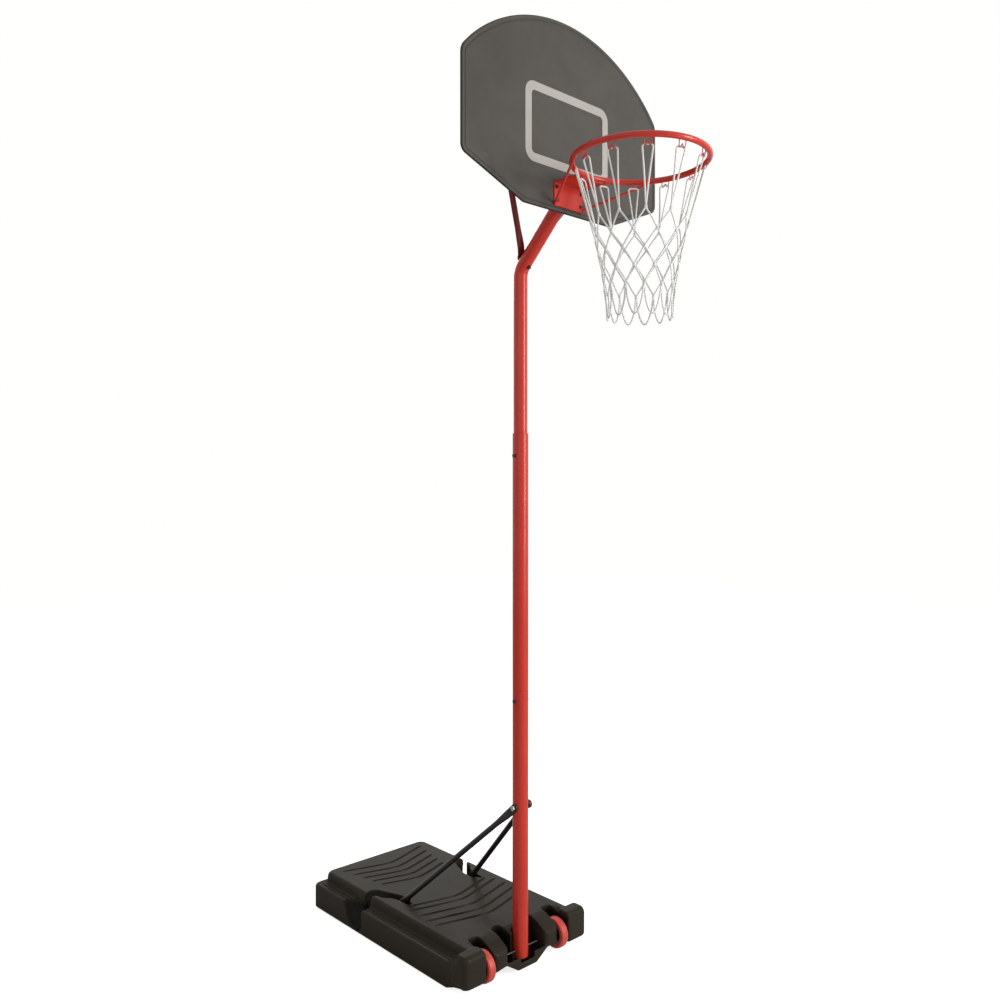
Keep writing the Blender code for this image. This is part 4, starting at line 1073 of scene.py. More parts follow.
    def recess(self) -> list[Shape | bpy.types.Mesh]:
        """Cutters of the recess round the pole's foot: a tray with two arms, a seat and an opening.

        Returns:
            The cutters, of which the tray is a mesh already.
        """
        seat, floor, half = 0.0234, 0.0145, 0.068
        arm = [(half, at(-0.026), 0), (half, at(0.053), 0.014), (seat + 0.0115, at(0.053), 0.012),
               (seat + 0.0115, at(-0.004), 0)]
        yoke = rounded(arm + [(-x, y, radius) for x, y, radius in arm[::-1]])
        under = np.vstack([[(-0.26, -0.02)], self.belly_line() + (0, 0.004), [(0.26, -0.02)]])
        tray = carved(mesh_of("tray", pulled(yoke, Plane.XY, floor, OVER_DECK)),
                      [("DIFFERENCE", pulled(under, Plane.XZ, at(-0.07), at(0.08)))])
        t = np.linspace(0, math.pi, 25)
        round_seat = np.vstack([[(-seat, at(-0.0255)), (seat, at(-0.0255))],
                                np.stack([seat * np.cos(t), at(0) + seat * np.sin(t)], 1)])
        low_wall = rounded([(-0.037, at(-0.026), 0), (0.037, at(-0.026), 0), (0.037, at(0.004), 0.006),
                            (-0.037, at(0.004), 0.006)])
        return [tray, pulled(round_seat, Plane.XY, floor - 0.0002, OVER_DECK),
                pulled(low_wall, Plane.XY, 0.046, OVER_DECK),
                box((-0.0685, at(-0.07), 0.040), (0.0685, at(-0.024), OVER_DECK)),
                box((-0.025, at(-0.07), 0.025), (0.025, at(-0.020), 0.06))]

    def corner(self, x: float, way: int, low: float) -> Shape:
        """Cutter that rounds an upright corner of an inner lug: a square less a quarter circle.

        Args:
            x: the corner's place across the tank.
            way: 1 where the lug lies on the side of lower X, -1 on the other side.
            low: the cutter's lowest height.

        Returns:
            The cutter.
        """
        y, r, t = -0.030, 0.014, np.linspace(0, math.pi / 2, 13)
        arc = np.stack([x - way * r + way * r * np.sin(t), y + r - r * np.cos(t)], 1)
        outline = np.vstack([arc, [(x + way * 0.001, y + r), (x + way * 0.001, y - 0.002),
                                   (x - way * r, y - 0.002)]])
        return pulled(outline + (0, POLE), Plane.XY, low, OVER_DECK)

    def channel(self) -> list[Shape]:
        """Cutters of the right strut's channel, its mouth in the side wall and the slit in front of it.

        Returns:
            The three cutters.
        """
        outline = rounded([(0.182, at(0.457), 0), (0.165, at(0.462), 0.008), (0.148, at(0.452), 0.008),
                           (0.1175, at(0.372), 0.02), (0.1162, at(0.327), 0.009), (0.1405, at(0.327), 0.009),
                           (0.143, at(0.360), 0.02), (0.150, at(0.380), 0.008), (0.165, at(0.397), 0.010),
                           (0.1735, at(0.4265), 0.009), (0.184, at(0.4275), 0)], 6)
        mouth = np.array([(0.181, at(0.427)), (0.25, at(0.4275)), (0.25, at(0.4575)), (0.181, at(0.4572))])
        slit = rounded([(0.1225, at(0.34), 0), (0.1305, at(0.309), 0.003), (0.139, at(0.309), 0.003),
                        (0.140, at(0.34), 0)])
        return [pulled(outline, Plane.XY, self.channel_floor, OVER_DECK),
                pulled(mouth, Plane.XY, self.channel_floor + 0.0002, OVER_DECK),
                pulled(slit, Plane.XY, self.deck - 0.010, OVER_DECK)]

    def hand_hold(self) -> Shape:
        """Cutter of the right hand hold: half-ellipses of size (1 - (1 - s)^2.4)^0.42 over its height.

        Returns:
            The cutter.
        """
        turn = (np.arange(64) * TAU / 64)[None, :]
        s = np.array([0.004, 0.02, 0.06, 0.12, 0.2, 0.3, 0.42, 0.56, 0.72, 0.86, 1.0])[:, None]
        size = (1 - (1 - s) ** 2.4) ** 0.42
        x = self.half + 0.004 + self.hold_depth * size * np.cos(turn)
        y = at(0.455) + 0.0225 * s + self.hold_reach * size * np.sin(turn)
        return skin(np.stack([x, y, self.hold_foot + self.hold_tall * s + 0 * turn], -1))

    def grip(self, half: float, centre: float, slope: float) -> Shape:
        """Cutter of one grip groove: a bar along y = centre + slope (sqrt(x^2 + w^2) - 1.075 w).

        Args:
            half: half of the groove's width across the tank.
            centre: its place behind the pole's axis.
            slope: how far it runs back for each metre to the side.

        Returns:
            The cutter.
        """
        x = half * np.sin(np.linspace(-math.pi / 2, math.pi / 2, 61))
        y = at(centre) + slope * (np.sqrt(x * x + self.groove_bend ** 2) - 1.075 * self.groove_bend)
        path = np.stack([x, y, np.full_like(x, self.deck - 0.0003)], 1)
        size = self.groove * np.minimum(1, 0.3 + 9 * (half - np.abs(x)) / half)
        return swept(path, size, (0, 0, 1), 12)

    def bores(self) -> list[Shape]:
        """Cutters of the cap's counterbore, the bung's pocket and the two foot bolts' bores.

        Returns:
            The four cutters.
        """
        y, z = at(0.379), 0.068
        foot = turned([(0.0036, -0.001), (0.0036, 0.034)], (0.136, y, z), (-1, 0, 0), 24)
        return [turned([(0.0090, self.half - 0.002), (0.0090, 0.26)], (0, POLE, self.axle_z), (1, 0, 0), 32),
                turned([(0.0272, -0.013), (0.0272, 0.03)], (self.bung_x, at(self.rear), 0.046), (0, 1, 0),
                       48), foot, foot.mirrored()]

    def hollow_shade_mask(self, points: Array) -> Array:
        """Painted shade: how deep each point lies in a hand hold, a wheel well or the pole's recess, which
        sets how dark its colour is painted.

        Args:
            points: the tank's points, one row each.

        Returns:
            0 on the outside to 1 where little light comes and the painted shade is darkest.
        """
        x, y, z = np.abs(points[:, 0]), points[:, 1] - POLE, points[:, 2]
        low = np.clip((self.deck - 0.004 - z) / 0.012, 0, 1)
        hold = np.clip((self.half - 0.0015 - x) / 0.005, 0, 1) * (x > 0.178) * (z < 0.0713)
        hold = hold * (np.abs(y - 0.4775) < 0.049)
        well = (x > self.slot_in - 0.0004) * (x < self.lug_in + 0.0004) * (y < 0.075) * low
        recess = (x < 0.0664) * (y > -0.02) * (y < 0.078) * low
        return np.maximum(hold, np.maximum(well, recess))

    def place(self) -> None:
        """Carves the tank, softens it and puts it in."""
        steps = [("DIFFERENCE", self.front_slope()), ("DIFFERENCE", self.belly())]
        for shape in self.lug():
            steps += [("UNION", shape), ("UNION", shape.mirrored())]
        corners = [self.corner(self.slot_in, 1, 0.036), self.corner(0.068, -1, 0.041)]
        for shape in self.wells() + self.channel() + corners:
            steps += [("DIFFERENCE", shape), ("DIFFERENCE", shape.mirrored())]
        steps += [("DIFFERENCE", shape) for shape in self.recess() + self.bores()]
        grooves = [self.grip(h, y, slope) for lines,
                   slope in ((self.rear_grooves, 0.33), (self.front_grooves, 0.28)) for h, y in lines]
        soft = moulded(carved(mesh_of("tank", self.shell()), steps), voxel=0.0016, passes=10, keep=0.3)
        hold = self.hand_hold()
        mesh = carved(soft, [("DIFFERENCE", joined(*grooves)), ("DIFFERENCE", hold),
                             ("DIFFERENCE", hold.mirrored())])
        # Painted shade in the hand holds, wheel wells and the pole's recess.
        mark_shade_and_dark_wall(mesh, self.hollow_shade_mask(points_of(mesh)))
        Piece("tank_moulding", mesh, TANK, Body.STAND, ("tank",), sharp=50).place()


@dataclass
class Bung:
    """The filler bung in the tank's rear wall, with finger notches round its head."""

    centre: Vec = (0.085, at(0.685), 0.046)
    head: float = 0.023

    def place(self) -> None:
        """A turned plug whose head's radius waves twelve times round: r (1 - 0.035 (1 + cos 12 t))."""
        profile = [(0, -0.0012), (0.017, -0.0012), (0.018, -0.0005), (0.0205, -0.0005),
                   (self.head - 0.0008, -0.0012), (self.head, -0.0025), (self.head, -0.0058),
                   (self.head - 0.0008, -0.0070), (0.0215, -0.0074), (0.0215, -0.0126), (0.0150, -0.0127),
                   (0.0148, -0.020), (0.0142, -0.0295), (0.0130, -0.030), (0, -0.030)]
        shape = turned(profile, (0, 0, 0), (0, 0, 1), 144)
        turn = np.arctan2(shape.points[:, 1], shape.points[:, 0])
        rim = np.hypot(shape.points[:, 0], shape.points[:, 1]) > 0.0216
        wave = np.where(rim, 1 - 0.018 * (1 + np.cos(12 * turn)) ** 2, 1.0)
        shape.points[:, :2] *= wave[:, None]
        shape.points = np.asarray(self.centre) + shape.points @ basis((0, 1, 0))
        Piece("bung_plug", mesh_of("bung", shape), RUBBER, Body.BUNG, ("filler_bung",)).place()


@dataclass
class Wheels:
    """Axle, its cap, and the two wheels."""

    radius: float = 0.0415
    width: float = 0.024
    axle: float = 0.004
    height: float = 0.0455
    across: float = 0.1355

    def tread(self, side: Side) -> Shape:
        """A ring of rounded section with two fine moulding grooves.

        Args:
            side: the wheel's side.

        Returns:
            The closed shape.
        """
        half, bulge, felloe = self.width / 2, 0.0062, self.radius * 0.66 + 0.0003
        t = np.linspace(0, math.pi / 2, 8)
        low = [(self.radius - bulge + bulge * math.sin(a), -half + bulge - bulge * math.cos(a)) for a in t]
        line = [(self.radius, -0.0035), (self.radius - 0.0007, -0.0031), (self.radius, -0.0027)]
        line += [(r, -h) for r, h in line[::-1]]
        profile = [(felloe, -half + 0.0018), (felloe + 0.0008, -half + 0.001),
                   (self.radius - bulge - 0.002, -half)] + low + line
        profile += [(r, -h) for r, h in low[::-1]]
        profile += [(self.radius - bulge - 0.002, half), (felloe + 0.0008, half - 0.001),
                    (felloe, half - 0.0018)]
        return turned(profile, (side.value * self.across, POLE, self.height), (1, 0, 0), 96, ring=True)

    def hub(self, side: Side) -> Shape:
        """A turned hub with a thin web, whose web carries eight ribs at each face.

        Args:
            side: the wheel's side.

        Returns:
            The closed shape.
        """
        half, bore, felloe = self.width / 2, self.axle + 0.0003, self.radius * 0.66
        low = [(bore, -half + 0.0004), (bore + 0.0005, -half), (0.0088, -half), (0.0094, -half + 0.0006),
               (0.0097, -half * 0.42), (felloe - 0.0036, -half * 0.38), (felloe - 0.0030, -half * 0.86),
               (felloe - 0.0022, -half * 0.9), (felloe - 0.0004, -half * 0.9), (felloe, -half * 0.87)]
        centre = (side.value * self.across, POLE, self.height)
        ring = turned(low + [(r, -h) for r, h in low[::-1]], centre, (1, 0, 0), 96, ring=True)
        ribs = []
        for turn in np.arange(8) * TAU / 8:
            c, s = math.cos(turn), math.sin(turn)
            corners = np.array([(0.009, -0.0011), (felloe - 0.0026, -0.0011), (felloe - 0.0026, 0.0011),
                                (0.009, 0.0011)])
            local = np.stack([lift(corners @ np.array([[c, s], [-s, c]]), Plane.YZ, x)
                              for x in (-half * 0.78, half * 0.78)])
            ribs.append(skin(local + np.asarray(centre)))
        return joined(ring, *ribs)

    def place(self) -> None:
        """Puts in both wheels, the axle and its cap."""
        for side, body in ((Side.LEFT, Body.WHEEL_LEFT), (Side.RIGHT, Body.WHEEL_RIGHT)):
            name = side.name.lower()
            Piece(f"tread_{name}", mesh_of("tread", self.tread(side)), TREAD, body, (f"wheel_tyre_{name}",
                  )).place()
            # Its near-black finish is painted shade for the recessed sides.
            Piece(f"hub_{name}", mesh_of("hub", self.hub(side)), SHADED_HUB, body, (f"wheel_hub_{name}",)).place()
        r, centre = self.axle, (0, POLE, self.height)
        pin = [(0, -0.185), (r * 0.8, -0.185), (r, -0.184), (r, 0.2184), (r * 0.8, 0.2194), (0, 0.2194)]
        bar = mesh_of("axle", turned(pin, centre, (1, 0, 0), 32))
        Piece("axle_bar", bar, DARK_STEEL, Body.STAND, ("axle",)).place()
        t = np.linspace(0, math.pi / 2, 7)
        dome = [(0.0055 + 0.003 * math.cos(a), 0.2242 + 0.0018 * math.sin(a)) for a in t]
        cap = [(0, 0.2220), (0.0081, 0.2220), (0.0085, 0.2224)] + dome + [(0.003, 0.2259), (0, 0.2258)]
        plug = mesh_of("cap", turned(cap, centre, (1, 0, 0), 48))
        Piece("axle_plug", plug, CAP, Body.STAND, ("axle_cap",)).place()


# Pole


@dataclass
class Pole:
    """The three tubes of the pole with the bolts at its joints."""

    od: float = 0.0424
    wall: float = 0.0015
    upper_od: float = 0.037
    foot: float = 0.027
    joint: float = 0.744
    top: float = 1.431
    upper_foot: float = 1.17
    bend_z: float = 1.8644
    bend_r: float = 0.05
    plate_y: float = -0.165
    plate: float = 0.003

    @property
    def radius(self) -> float:
        """Outer radius of the two lower tubes."""
        return self.od / 2

    def lower(self) -> Shape:
        """The lower tube, a ring of revolution.

        Returns:
            The closed shape.
        """
        r, i, z0, z1 = self.radius, self.radius - self.wall, self.foot, self.joint - 0.0003
        profile = [(i, z0), (r - 0.0005, z0), (r, z0 + 0.0006), (r, 0.38), (r, z1 - 0.0008), (r - 0.0006, z1),
                   (i, z1)]
        return turned(profile, (0, POLE, 0), (0, 0, 1), 96, ring=True)

    def middle(self) -> Shape:
        """The middle tube: a narrowed spigot below the joint, then the full width up to an open top.

        Returns:
            The closed shape.
        """
        r, i, j, t = self.radius, self.radius - self.wall, self.joint, self.top
        s = i - 0.0003
        profile = [(s, j - 0.084), (s, j - 0.0001), (r - 0.0007, j), (r, j + 0.0009), (r, 1.1),
                   (r, t - 0.0007), (r - 0.0004, t - 0.0001), (r - 0.0008, t), (i + 0.0004, t),
                   (i, t - 0.0006), (i, j + 0.010), (s - self.wall, j + 0.002), (s - self.wall, j - 0.084)]
        return turned(profile, (0, POLE, 0), (0, 0, 1), 96, ring=True)

    def upper(self) -> Shape:
        """The upper tube: straight, an arc of 45 degrees, and a slope cut upright at the plate.

        Returns:
            The closed shape.
        """
        bend, turn = math.radians(45), np.linspace(0, math.radians(45), 25)
        tangent = self.bend_r * math.tan(bend / 2)
        y = -self.bend_r * (1 - np.cos(turn))
        z = self.bend_z - tangent + self.bend_r * np.sin(turn)
        centre = np.vstack([[(0, 0, self.upper_foot)], np.stack([0 * y, y, z], 1)])
        lean = np.concatenate([[0], turn])
        angle = np.arange(96) * TAU / 96
        r = self.upper_od / 2
        across = np.stack([0 * lean, np.cos(lean), np.sin(lean)], 1)
        rows = centre[:, None] + r * (np.cos(angle)[None, :, None] * np.array([1.0, 0, 0])
                                      + np.sin(angle)[None, :, None] * across[:, None])
        along = np.array([0.0, -math.sin(bend), math.cos(bend)])
        end = self.plate_y + self.plate * 0.6
        last = rows[-1] + np.outer((end - rows[-1][:, 1]) / along[1], along)
        return skin(np.concatenate([rows, last[None]])).moved((0, POLE, 0))

    def board_plate(self) -> Shape:
        """The plate behind the board, with a weld bead along the ellipse where the tube meets it.

        Returns:
            The closed shape.
        """
        low, top, half = 1.985, 2.064, 0.055
        outline = rounded([(-half, low, 0.006), (half, low, 0.006), (half, top, 0.006), (-half, top, 0.006)])
        sheet = plate(outline, Plane.XZ, at(self.plate_y + 0.0003), at(self.plate_y + self.plate), 0.0005)
        turn, r = np.arange(120) * TAU / 120, self.upper_od / 2 + 0.0006
        middle = self.bend_z - (self.plate_y + self.plate)
        path = np.stack([r * np.cos(turn), np.full(120, at(self.plate_y + self.plate + 0.0004)),
                         middle + r * math.sqrt(2) * np.sin(turn)], 1)
        bead = swept(path, 0.0022 + 0.0003 * np.sin(24 * turn), (0, 1, 0), 10, closed=True)
        return joined(sheet, bead)

    def place(self) -> None:
        """Puts in the tubes, the joint bolt with its nut, and the height screw."""
        for name, shape, body in (("lower", self.lower(), Body.STAND), ("middle", self.middle(), Body.STAND),
                                  ("upper", joined(self.upper(), self.board_plate()), Body.MAST)):
            Piece(f"tube_{name}", mesh_of(name, shape), RED, body, (f"pole_{name}",)).place()
        z, r = self.joint - 0.028, self.radius
        screw = Screw((-r - 0.0006, POLE, z), (1, 0, 0), 2 * r + 0.0078, 0.003)
        Piece("joint_bolt", mesh_of("bolt", screw.shape()), DARK_STEEL, Body.STAND, ("pole_joint_bolt",
              )).place()
        nut = Nut((r + 0.0006, POLE, z), (1, 0, 0), 0.003, 0.005).shape()
        Piece("joint_nut", mesh_of("nut", nut), ZINC, Body.STAND, ("pole_joint_nut",)).place()
        tight = Screw((-r - 0.0005, POLE, self.top - 0.060), (1, 0, 0), r - self.upper_od / 2 + 0.0002, 0.003,
                      0.0053, 0.005, 0.0)
        Piece("height_bolt", mesh_of("screw", tight.shape()), DARK_STEEL, Body.STAND, ("height_screw",
              )).place()


@dataclass
class Struts:
    """The two struts from the pole down into the tank, with their bolts."""

    top: float = 0.43
    pole_radius: float = 0.0212
    foot: Vec = (0.136, at(0.379), 0.068)
    thick: float = 0.002
    wide: float = 0.011
    radius: float = 0.0075

    def place(self) -> None:
        """Puts in the struts, the through bolt with its cap, and the foot bolts."""
        start = (self.pole_radius + 0.0003 + self.thick, POLE, self.top)
        way = (0.0, self.foot[1] - start[1], self.foot[2] - start[2])
        strut = FlatBar((start, self.foot), ((1, 0, 0), (1, 0, 0)), (way, way), (0.022, 0.019), self.thick,
                        self.wide, self.radius).shape()
        bolt = Screw((self.foot[0] + self.thick + 0.0003, *self.foot[1:]), (-1, 0, 0), 0.033, 0.003).shape()
        for side, bar, screw in ((Side.RIGHT, strut, bolt), (Side.LEFT, strut.mirrored(), bolt.mirrored())):
            name = side.name.lower()
            Piece(f"strut_bar_{name}", mesh_of("strut", bar), BLACK, Body.STAND, (f"strut_{name}",)).place()
            Piece(f"foot_bolt_{name}", mesh_of("bolt", screw), BLACK, Body.STAND, (f"strut_foot_bolt_{name}",
                  )).place()
        stack = self.pole_radius + 0.0046
        through = Screw((-stack, POLE, self.top), (1, 0, 0), 2 * stack + 0.009, 0.004).shape()
        Piece("strut_through_bolt", mesh_of("bolt", through), ZINC, Body.STAND, ("strut_bolt",)).place()
        t = np.linspace(0, math.pi / 2, 12)
        dome = [(0.0115 * math.sin(a), 0.0125 * (0.45 + 0.55 * math.cos(a))) for a in t]
        cap = dome + [(0.0115, 0.0014), (0.0110, 0.0004), (0.0104, 0), (0.0043, 0), (0.0043, 0.0096),
                      (0, 0.0098)]
        shape = turned(cap, (stack, POLE, self.top), (1, 0, 0), 64)
        Piece("strut_cap", mesh_of("cap", shape), CAP, Body.STAND, ("strut_cap_nut",)).place()


@dataclass
class Braces:
    """The two braces from the upper tube to the back of the board, with their bolt and screws."""

    bolt: tuple[float, float] = (-0.01818, 1.88258)
    tube_radius: float = 0.0185
    fix: Vec = (0.268, -0.165, 2.290)
    sheet: float = 0.0034
    air: float = 0.0003
    flat: float = 0.040
    turn: float = 37.0
    wide: float = 0.0098
    radius: float = 0.00775

    @property
    def up(self) -> Array:
        """Square to the sloping run of the upper tube, to its upper side."""
        return np.array([0.0, math.sqrt(0.5), math.sqrt(0.5)])

    @property
    def centre(self) -> Array:
        """Where the bolt crosses the tube's axis."""
        return np.array([0.0, at(self.bolt[0]), self.bolt[1]])

    def bar(self, layer: int) -> Shape:
        """The right brace; its lower end lies flat on the tube, its upper one flat on the board's back.

        Args:
            layer: 0 where it lies on the tube, 1 where it lies on the other brace's end.

        Returns:
            The bar, without its bolts.
        """
        half = self.sheet / 2
        low = self.centre + self.up * (self.tube_radius + self.air + half + layer * (self.sheet + self.air))
        high = np.array([self.fix[0], at(self.fix[1] + self.air + half), self.fix[2]])
        lean = math.radians(self.turn)
        slope = np.array([0.0, -math.sqrt(0.5), math.sqrt(0.5)])
        first = np.array([math.sin(lean), 0, 0]) + slope * math.cos(lean)
        last = (high - low) * (1, 0, 1)
        normals = (tuple(self.up), (0, 1, 0))
        return FlatBar((low, high), normals, (first, last), (self.flat, 0.020), half, self.wide,
                       self.radius).shape()

    def place(self) -> None:
        """Puts in the braces and what holds them."""
        screw = Screw((self.fix[0], at(self.fix[1] + self.sheet + 2 * self.air), self.fix[2]), (0, -1, 0),
                      self.sheet + 0.0055, 0.003, thread=0.0).shape()
        for side, bar, small in ((Side.RIGHT, self.bar(1), screw),
                                 (Side.LEFT, self.bar(0).mirrored(), screw.mirrored())):
            name = side.name.lower()
            Piece(f"brace_bar_{name}", mesh_of("brace", bar), DARK_RED, Body.MAST, (f"brace_{name}",)).place()
            Piece(f"brace_fixing_{name}", mesh_of("screw", small), ZINC, Body.MAST, (f"brace_screw_{name}",
                  )).place()
        stack = self.tube_radius + 2 * self.sheet + 4 * self.air
        head = self.centre - self.up * (self.tube_radius + self.air)
        through = Screw(tuple(head), tuple(self.up), self.tube_radius + stack + 0.007, 0.004, 0.0054,
                        0.004).shape()
        nut = Nut(tuple(self.centre + self.up * stack), tuple(self.up), 0.004, 0.0055).shape()
        Piece("brace_through_bolt", mesh_of("bolt", through), DARK_STEEL, Body.MAST, ("brace_bolt",)).place()
        Piece("brace_through_nut", mesh_of("nut", nut), DARK_STEEL, Body.MAST, ("brace_nut",)).place()


# Board, rim and net


@dataclass
class Board:
    """The backboard, a moulded tray with a rounded rim and a ribbed back, and its printed rectangle."""

    half: float = 0.355
    apex: float = 2.4528
    arc: float = 0.468
    shoulder: float = 0.039
    side_z: float = 2.0542
    foot: float = 1.9755
    foot_half: float = 0.158
    back: float = -0.165
    depth: float = 0.010
    draft: float = 0.0046
    wall: float = 0.003

    @property
    def face(self) -> float:
        """Y of the front face, behind the pole's axis."""
        return self.back - self.depth + 0.002

    def outline(self) -> Array:
        """The outline in X and Z: a chamfered foot, upright sides and an arc of radius `arc` on top.

        Returns:
            Pairs of X and Z, anticlockwise.
        """
        centre, last = self.apex - self.arc, math.asin(self.half / self.arc)
        turn = np.linspace(last, -last, 97)[1:-1]
        curve = np.stack([self.arc * np.sin(turn), centre + self.arc * np.cos(turn), 0 * turn], 1).tolist()
        top = centre + self.arc * math.cos(last)
        foot = [(-self.foot_half, self.foot, 0.02), (self.foot_half, self.foot, 0.02),
                (self.half, self.side_z, 0.022)]
        left = [(-self.half, top, self.shoulder), (-self.half, self.side_z, 0.022)]
        return rounded(foot + [(self.half, top, self.shoulder)] + curve[4:-4] + left, 10)

    def tray(self) -> Shape:
        """The outline moved in by d(y), one row each for pocket, edge, wall, crest, groove and face.

        Returns:
            The closed shape.
        """
        outline, front, face = self.outline(), self.back - self.depth, self.face
        t = np.linspace(0, 1, 9)
        crest = [(front + 0.0050 * (1 - math.sin(a * 1.5708)), 0.0050 * (1 - math.cos(a * 1.5708)))
                 for a in t]
        fall = [(front + (face - front + 0.0016) * a * a * (3 - 2 * a), 0.0072 + 0.0046 * a) for a in t[::2]]
        rise = [(face + 0.0016 * (1 - a * a * (3 - 2 * a)), 0.0118 + 0.0030 * a) for a in t[2::2]]
        pocket = [(self.back, 0.0082), (self.back - 0.0006, 0.0086), (face + self.wall + 0.001, 0.0096),
                  (face + self.wall, 0.0106)]
        edge = [(self.back - y, self.draft + d) for y, d in ((0.0012, 0.0), (0.0004, 0.0004), (0.0, 0.0012))]
        rows = pocket[::-1] + edge[::-1] + crest + fall + rise
        return skin(np.stack([lift(inset(outline, d), Plane.XZ, at(y)) for y, d in rows]))

    def height_over(self, x: Array | float) -> tuple[Array, Array]:
        """Lower and upper edge of the pocket at a place across the board.

        Args:
            x: the place, or an array of them.

        Returns:
            The lower and the upper height.
        """
        x = np.abs(x)
        share = np.clip((x - self.foot_half) / (self.half - self.foot_half), 0, 1)
        low = self.foot + share * (self.side_z - self.foot) + 0.0075
        return low, self.apex - self.arc + np.sqrt(self.arc ** 2 - x * x) - 0.0075

    def ribs(self) -> Shape:
        """Six upright and four level ribs, the block behind the bracket and the braces' two bosses.

        Returns:
            The closed shape.
        """
        y0, y1, r = at(self.face + self.wall - 0.0004), at(self.back - 0.0004), 0.0014
        parts = []
        for x in np.linspace(-0.272, 0.272, 6):
            low, high = self.height_over(x)
            corners = np.array([(x - r, low), (x + r, low), (x + r, high), (x - r, high)])
            parts.append(plate(corners, Plane.XZ, y0, y1, 0.0006))
        for z in np.linspace(self.foot + 0.105, self.apex - 0.080, 4):
            reach = min(self.half - 0.0075, math.sqrt(max(self.arc ** 2 - (z - self.apex + self.arc) ** 2, 0))
                        - 0.0075)
            corners = np.array([(-reach, z - r), (reach, z - r), (reach, z + r), (-reach, z + r)])
            parts.append(plate(corners, Plane.XZ, y0, y1, 0.0006))
        block = rounded([(-0.068, self.foot + 0.0075, 0.002), (0.068, self.foot + 0.0075, 0.002),
                         (0.068, self.foot + 0.093, 0.004), (-0.068, self.foot + 0.093, 0.004)])
        parts.append(plate(block, Plane.XZ, y0, at(self.back), 0.001))
        boss = [(0, 0), (0.0145, 0), (0.0145, y1 - y0 - 0.0006), (0.0139, y1 - y0 + 0.0004),
                (0, y1 - y0 + 0.0004)]
        parts += [turned(boss, (sign * 0.268, y0, self.foot + 0.3145), (0, 1, 0), 48) for sign in (-1, 1)]
        return joined(*parts)

    def rectangle(self) -> Shape:
        """The printed rectangle: a flat ring between two outlines with rounded corners.

        Returns:
            The closed shape.
        """
        half, low, high, band, radius = 0.1515, self.foot + 0.1054, self.foot + 0.3011, 0.0213, 0.030
        lines = []
        for d, r in ((0.0, radius), (band, radius - band * 0.9)):
            lines.append(rounded([(-half + d, low + d, r), (half - d, low + d, r), (half - d, high - d, r),
                                  (-half + d, high - d, r)], 12))
        back, front = at(self.face - 0.0003), at(self.face - 0.0007)
        rows = [(lines[0], back), (lines[0], front), (lines[1], front), (lines[1], back)]
        return skin(np.stack([lift(line, Plane.XZ, y) for line, y in rows]), close_rows=True)

    def wall_mask(self, points: Array) -> Array:
        """How far each point lies on the outer wall: 1 near the outline and behind the crest, 0 elsewhere.

        Args:
            points: the board's points, one row each.

        Returns:
            The mask, a number for each point.
        """
        outline = self.outline()
        way_in = np.hypot(*(points[:, None, (0, 2)] - outline[None]).transpose(2, 0, 1)).min(1)
        near = np.clip((0.0064 - way_in) / 0.0012, 0, 1)
        return near * np.clip((points[:, 1] - at(self.back - self.depth) - 0.0003) / 0.0012, 0, 1)

    def place(self) -> None:
        """Puts in the board, with the mask of its dark outer wall, and its rectangle."""
        mesh = mesh_of("board", joined(self.tray(), self.ribs()))
        mark_shade_and_dark_wall(mesh, self.wall_mask(points_of(mesh)))
        Piece("board", mesh, BOARD, Body.MAST, ("backboard",)).place()
        lines = mesh_of("rectangle", self.rectangle())
        Piece("board_rectangle", lines, PRINT, Body.MAST, ("aiming_rectangle",)).place()


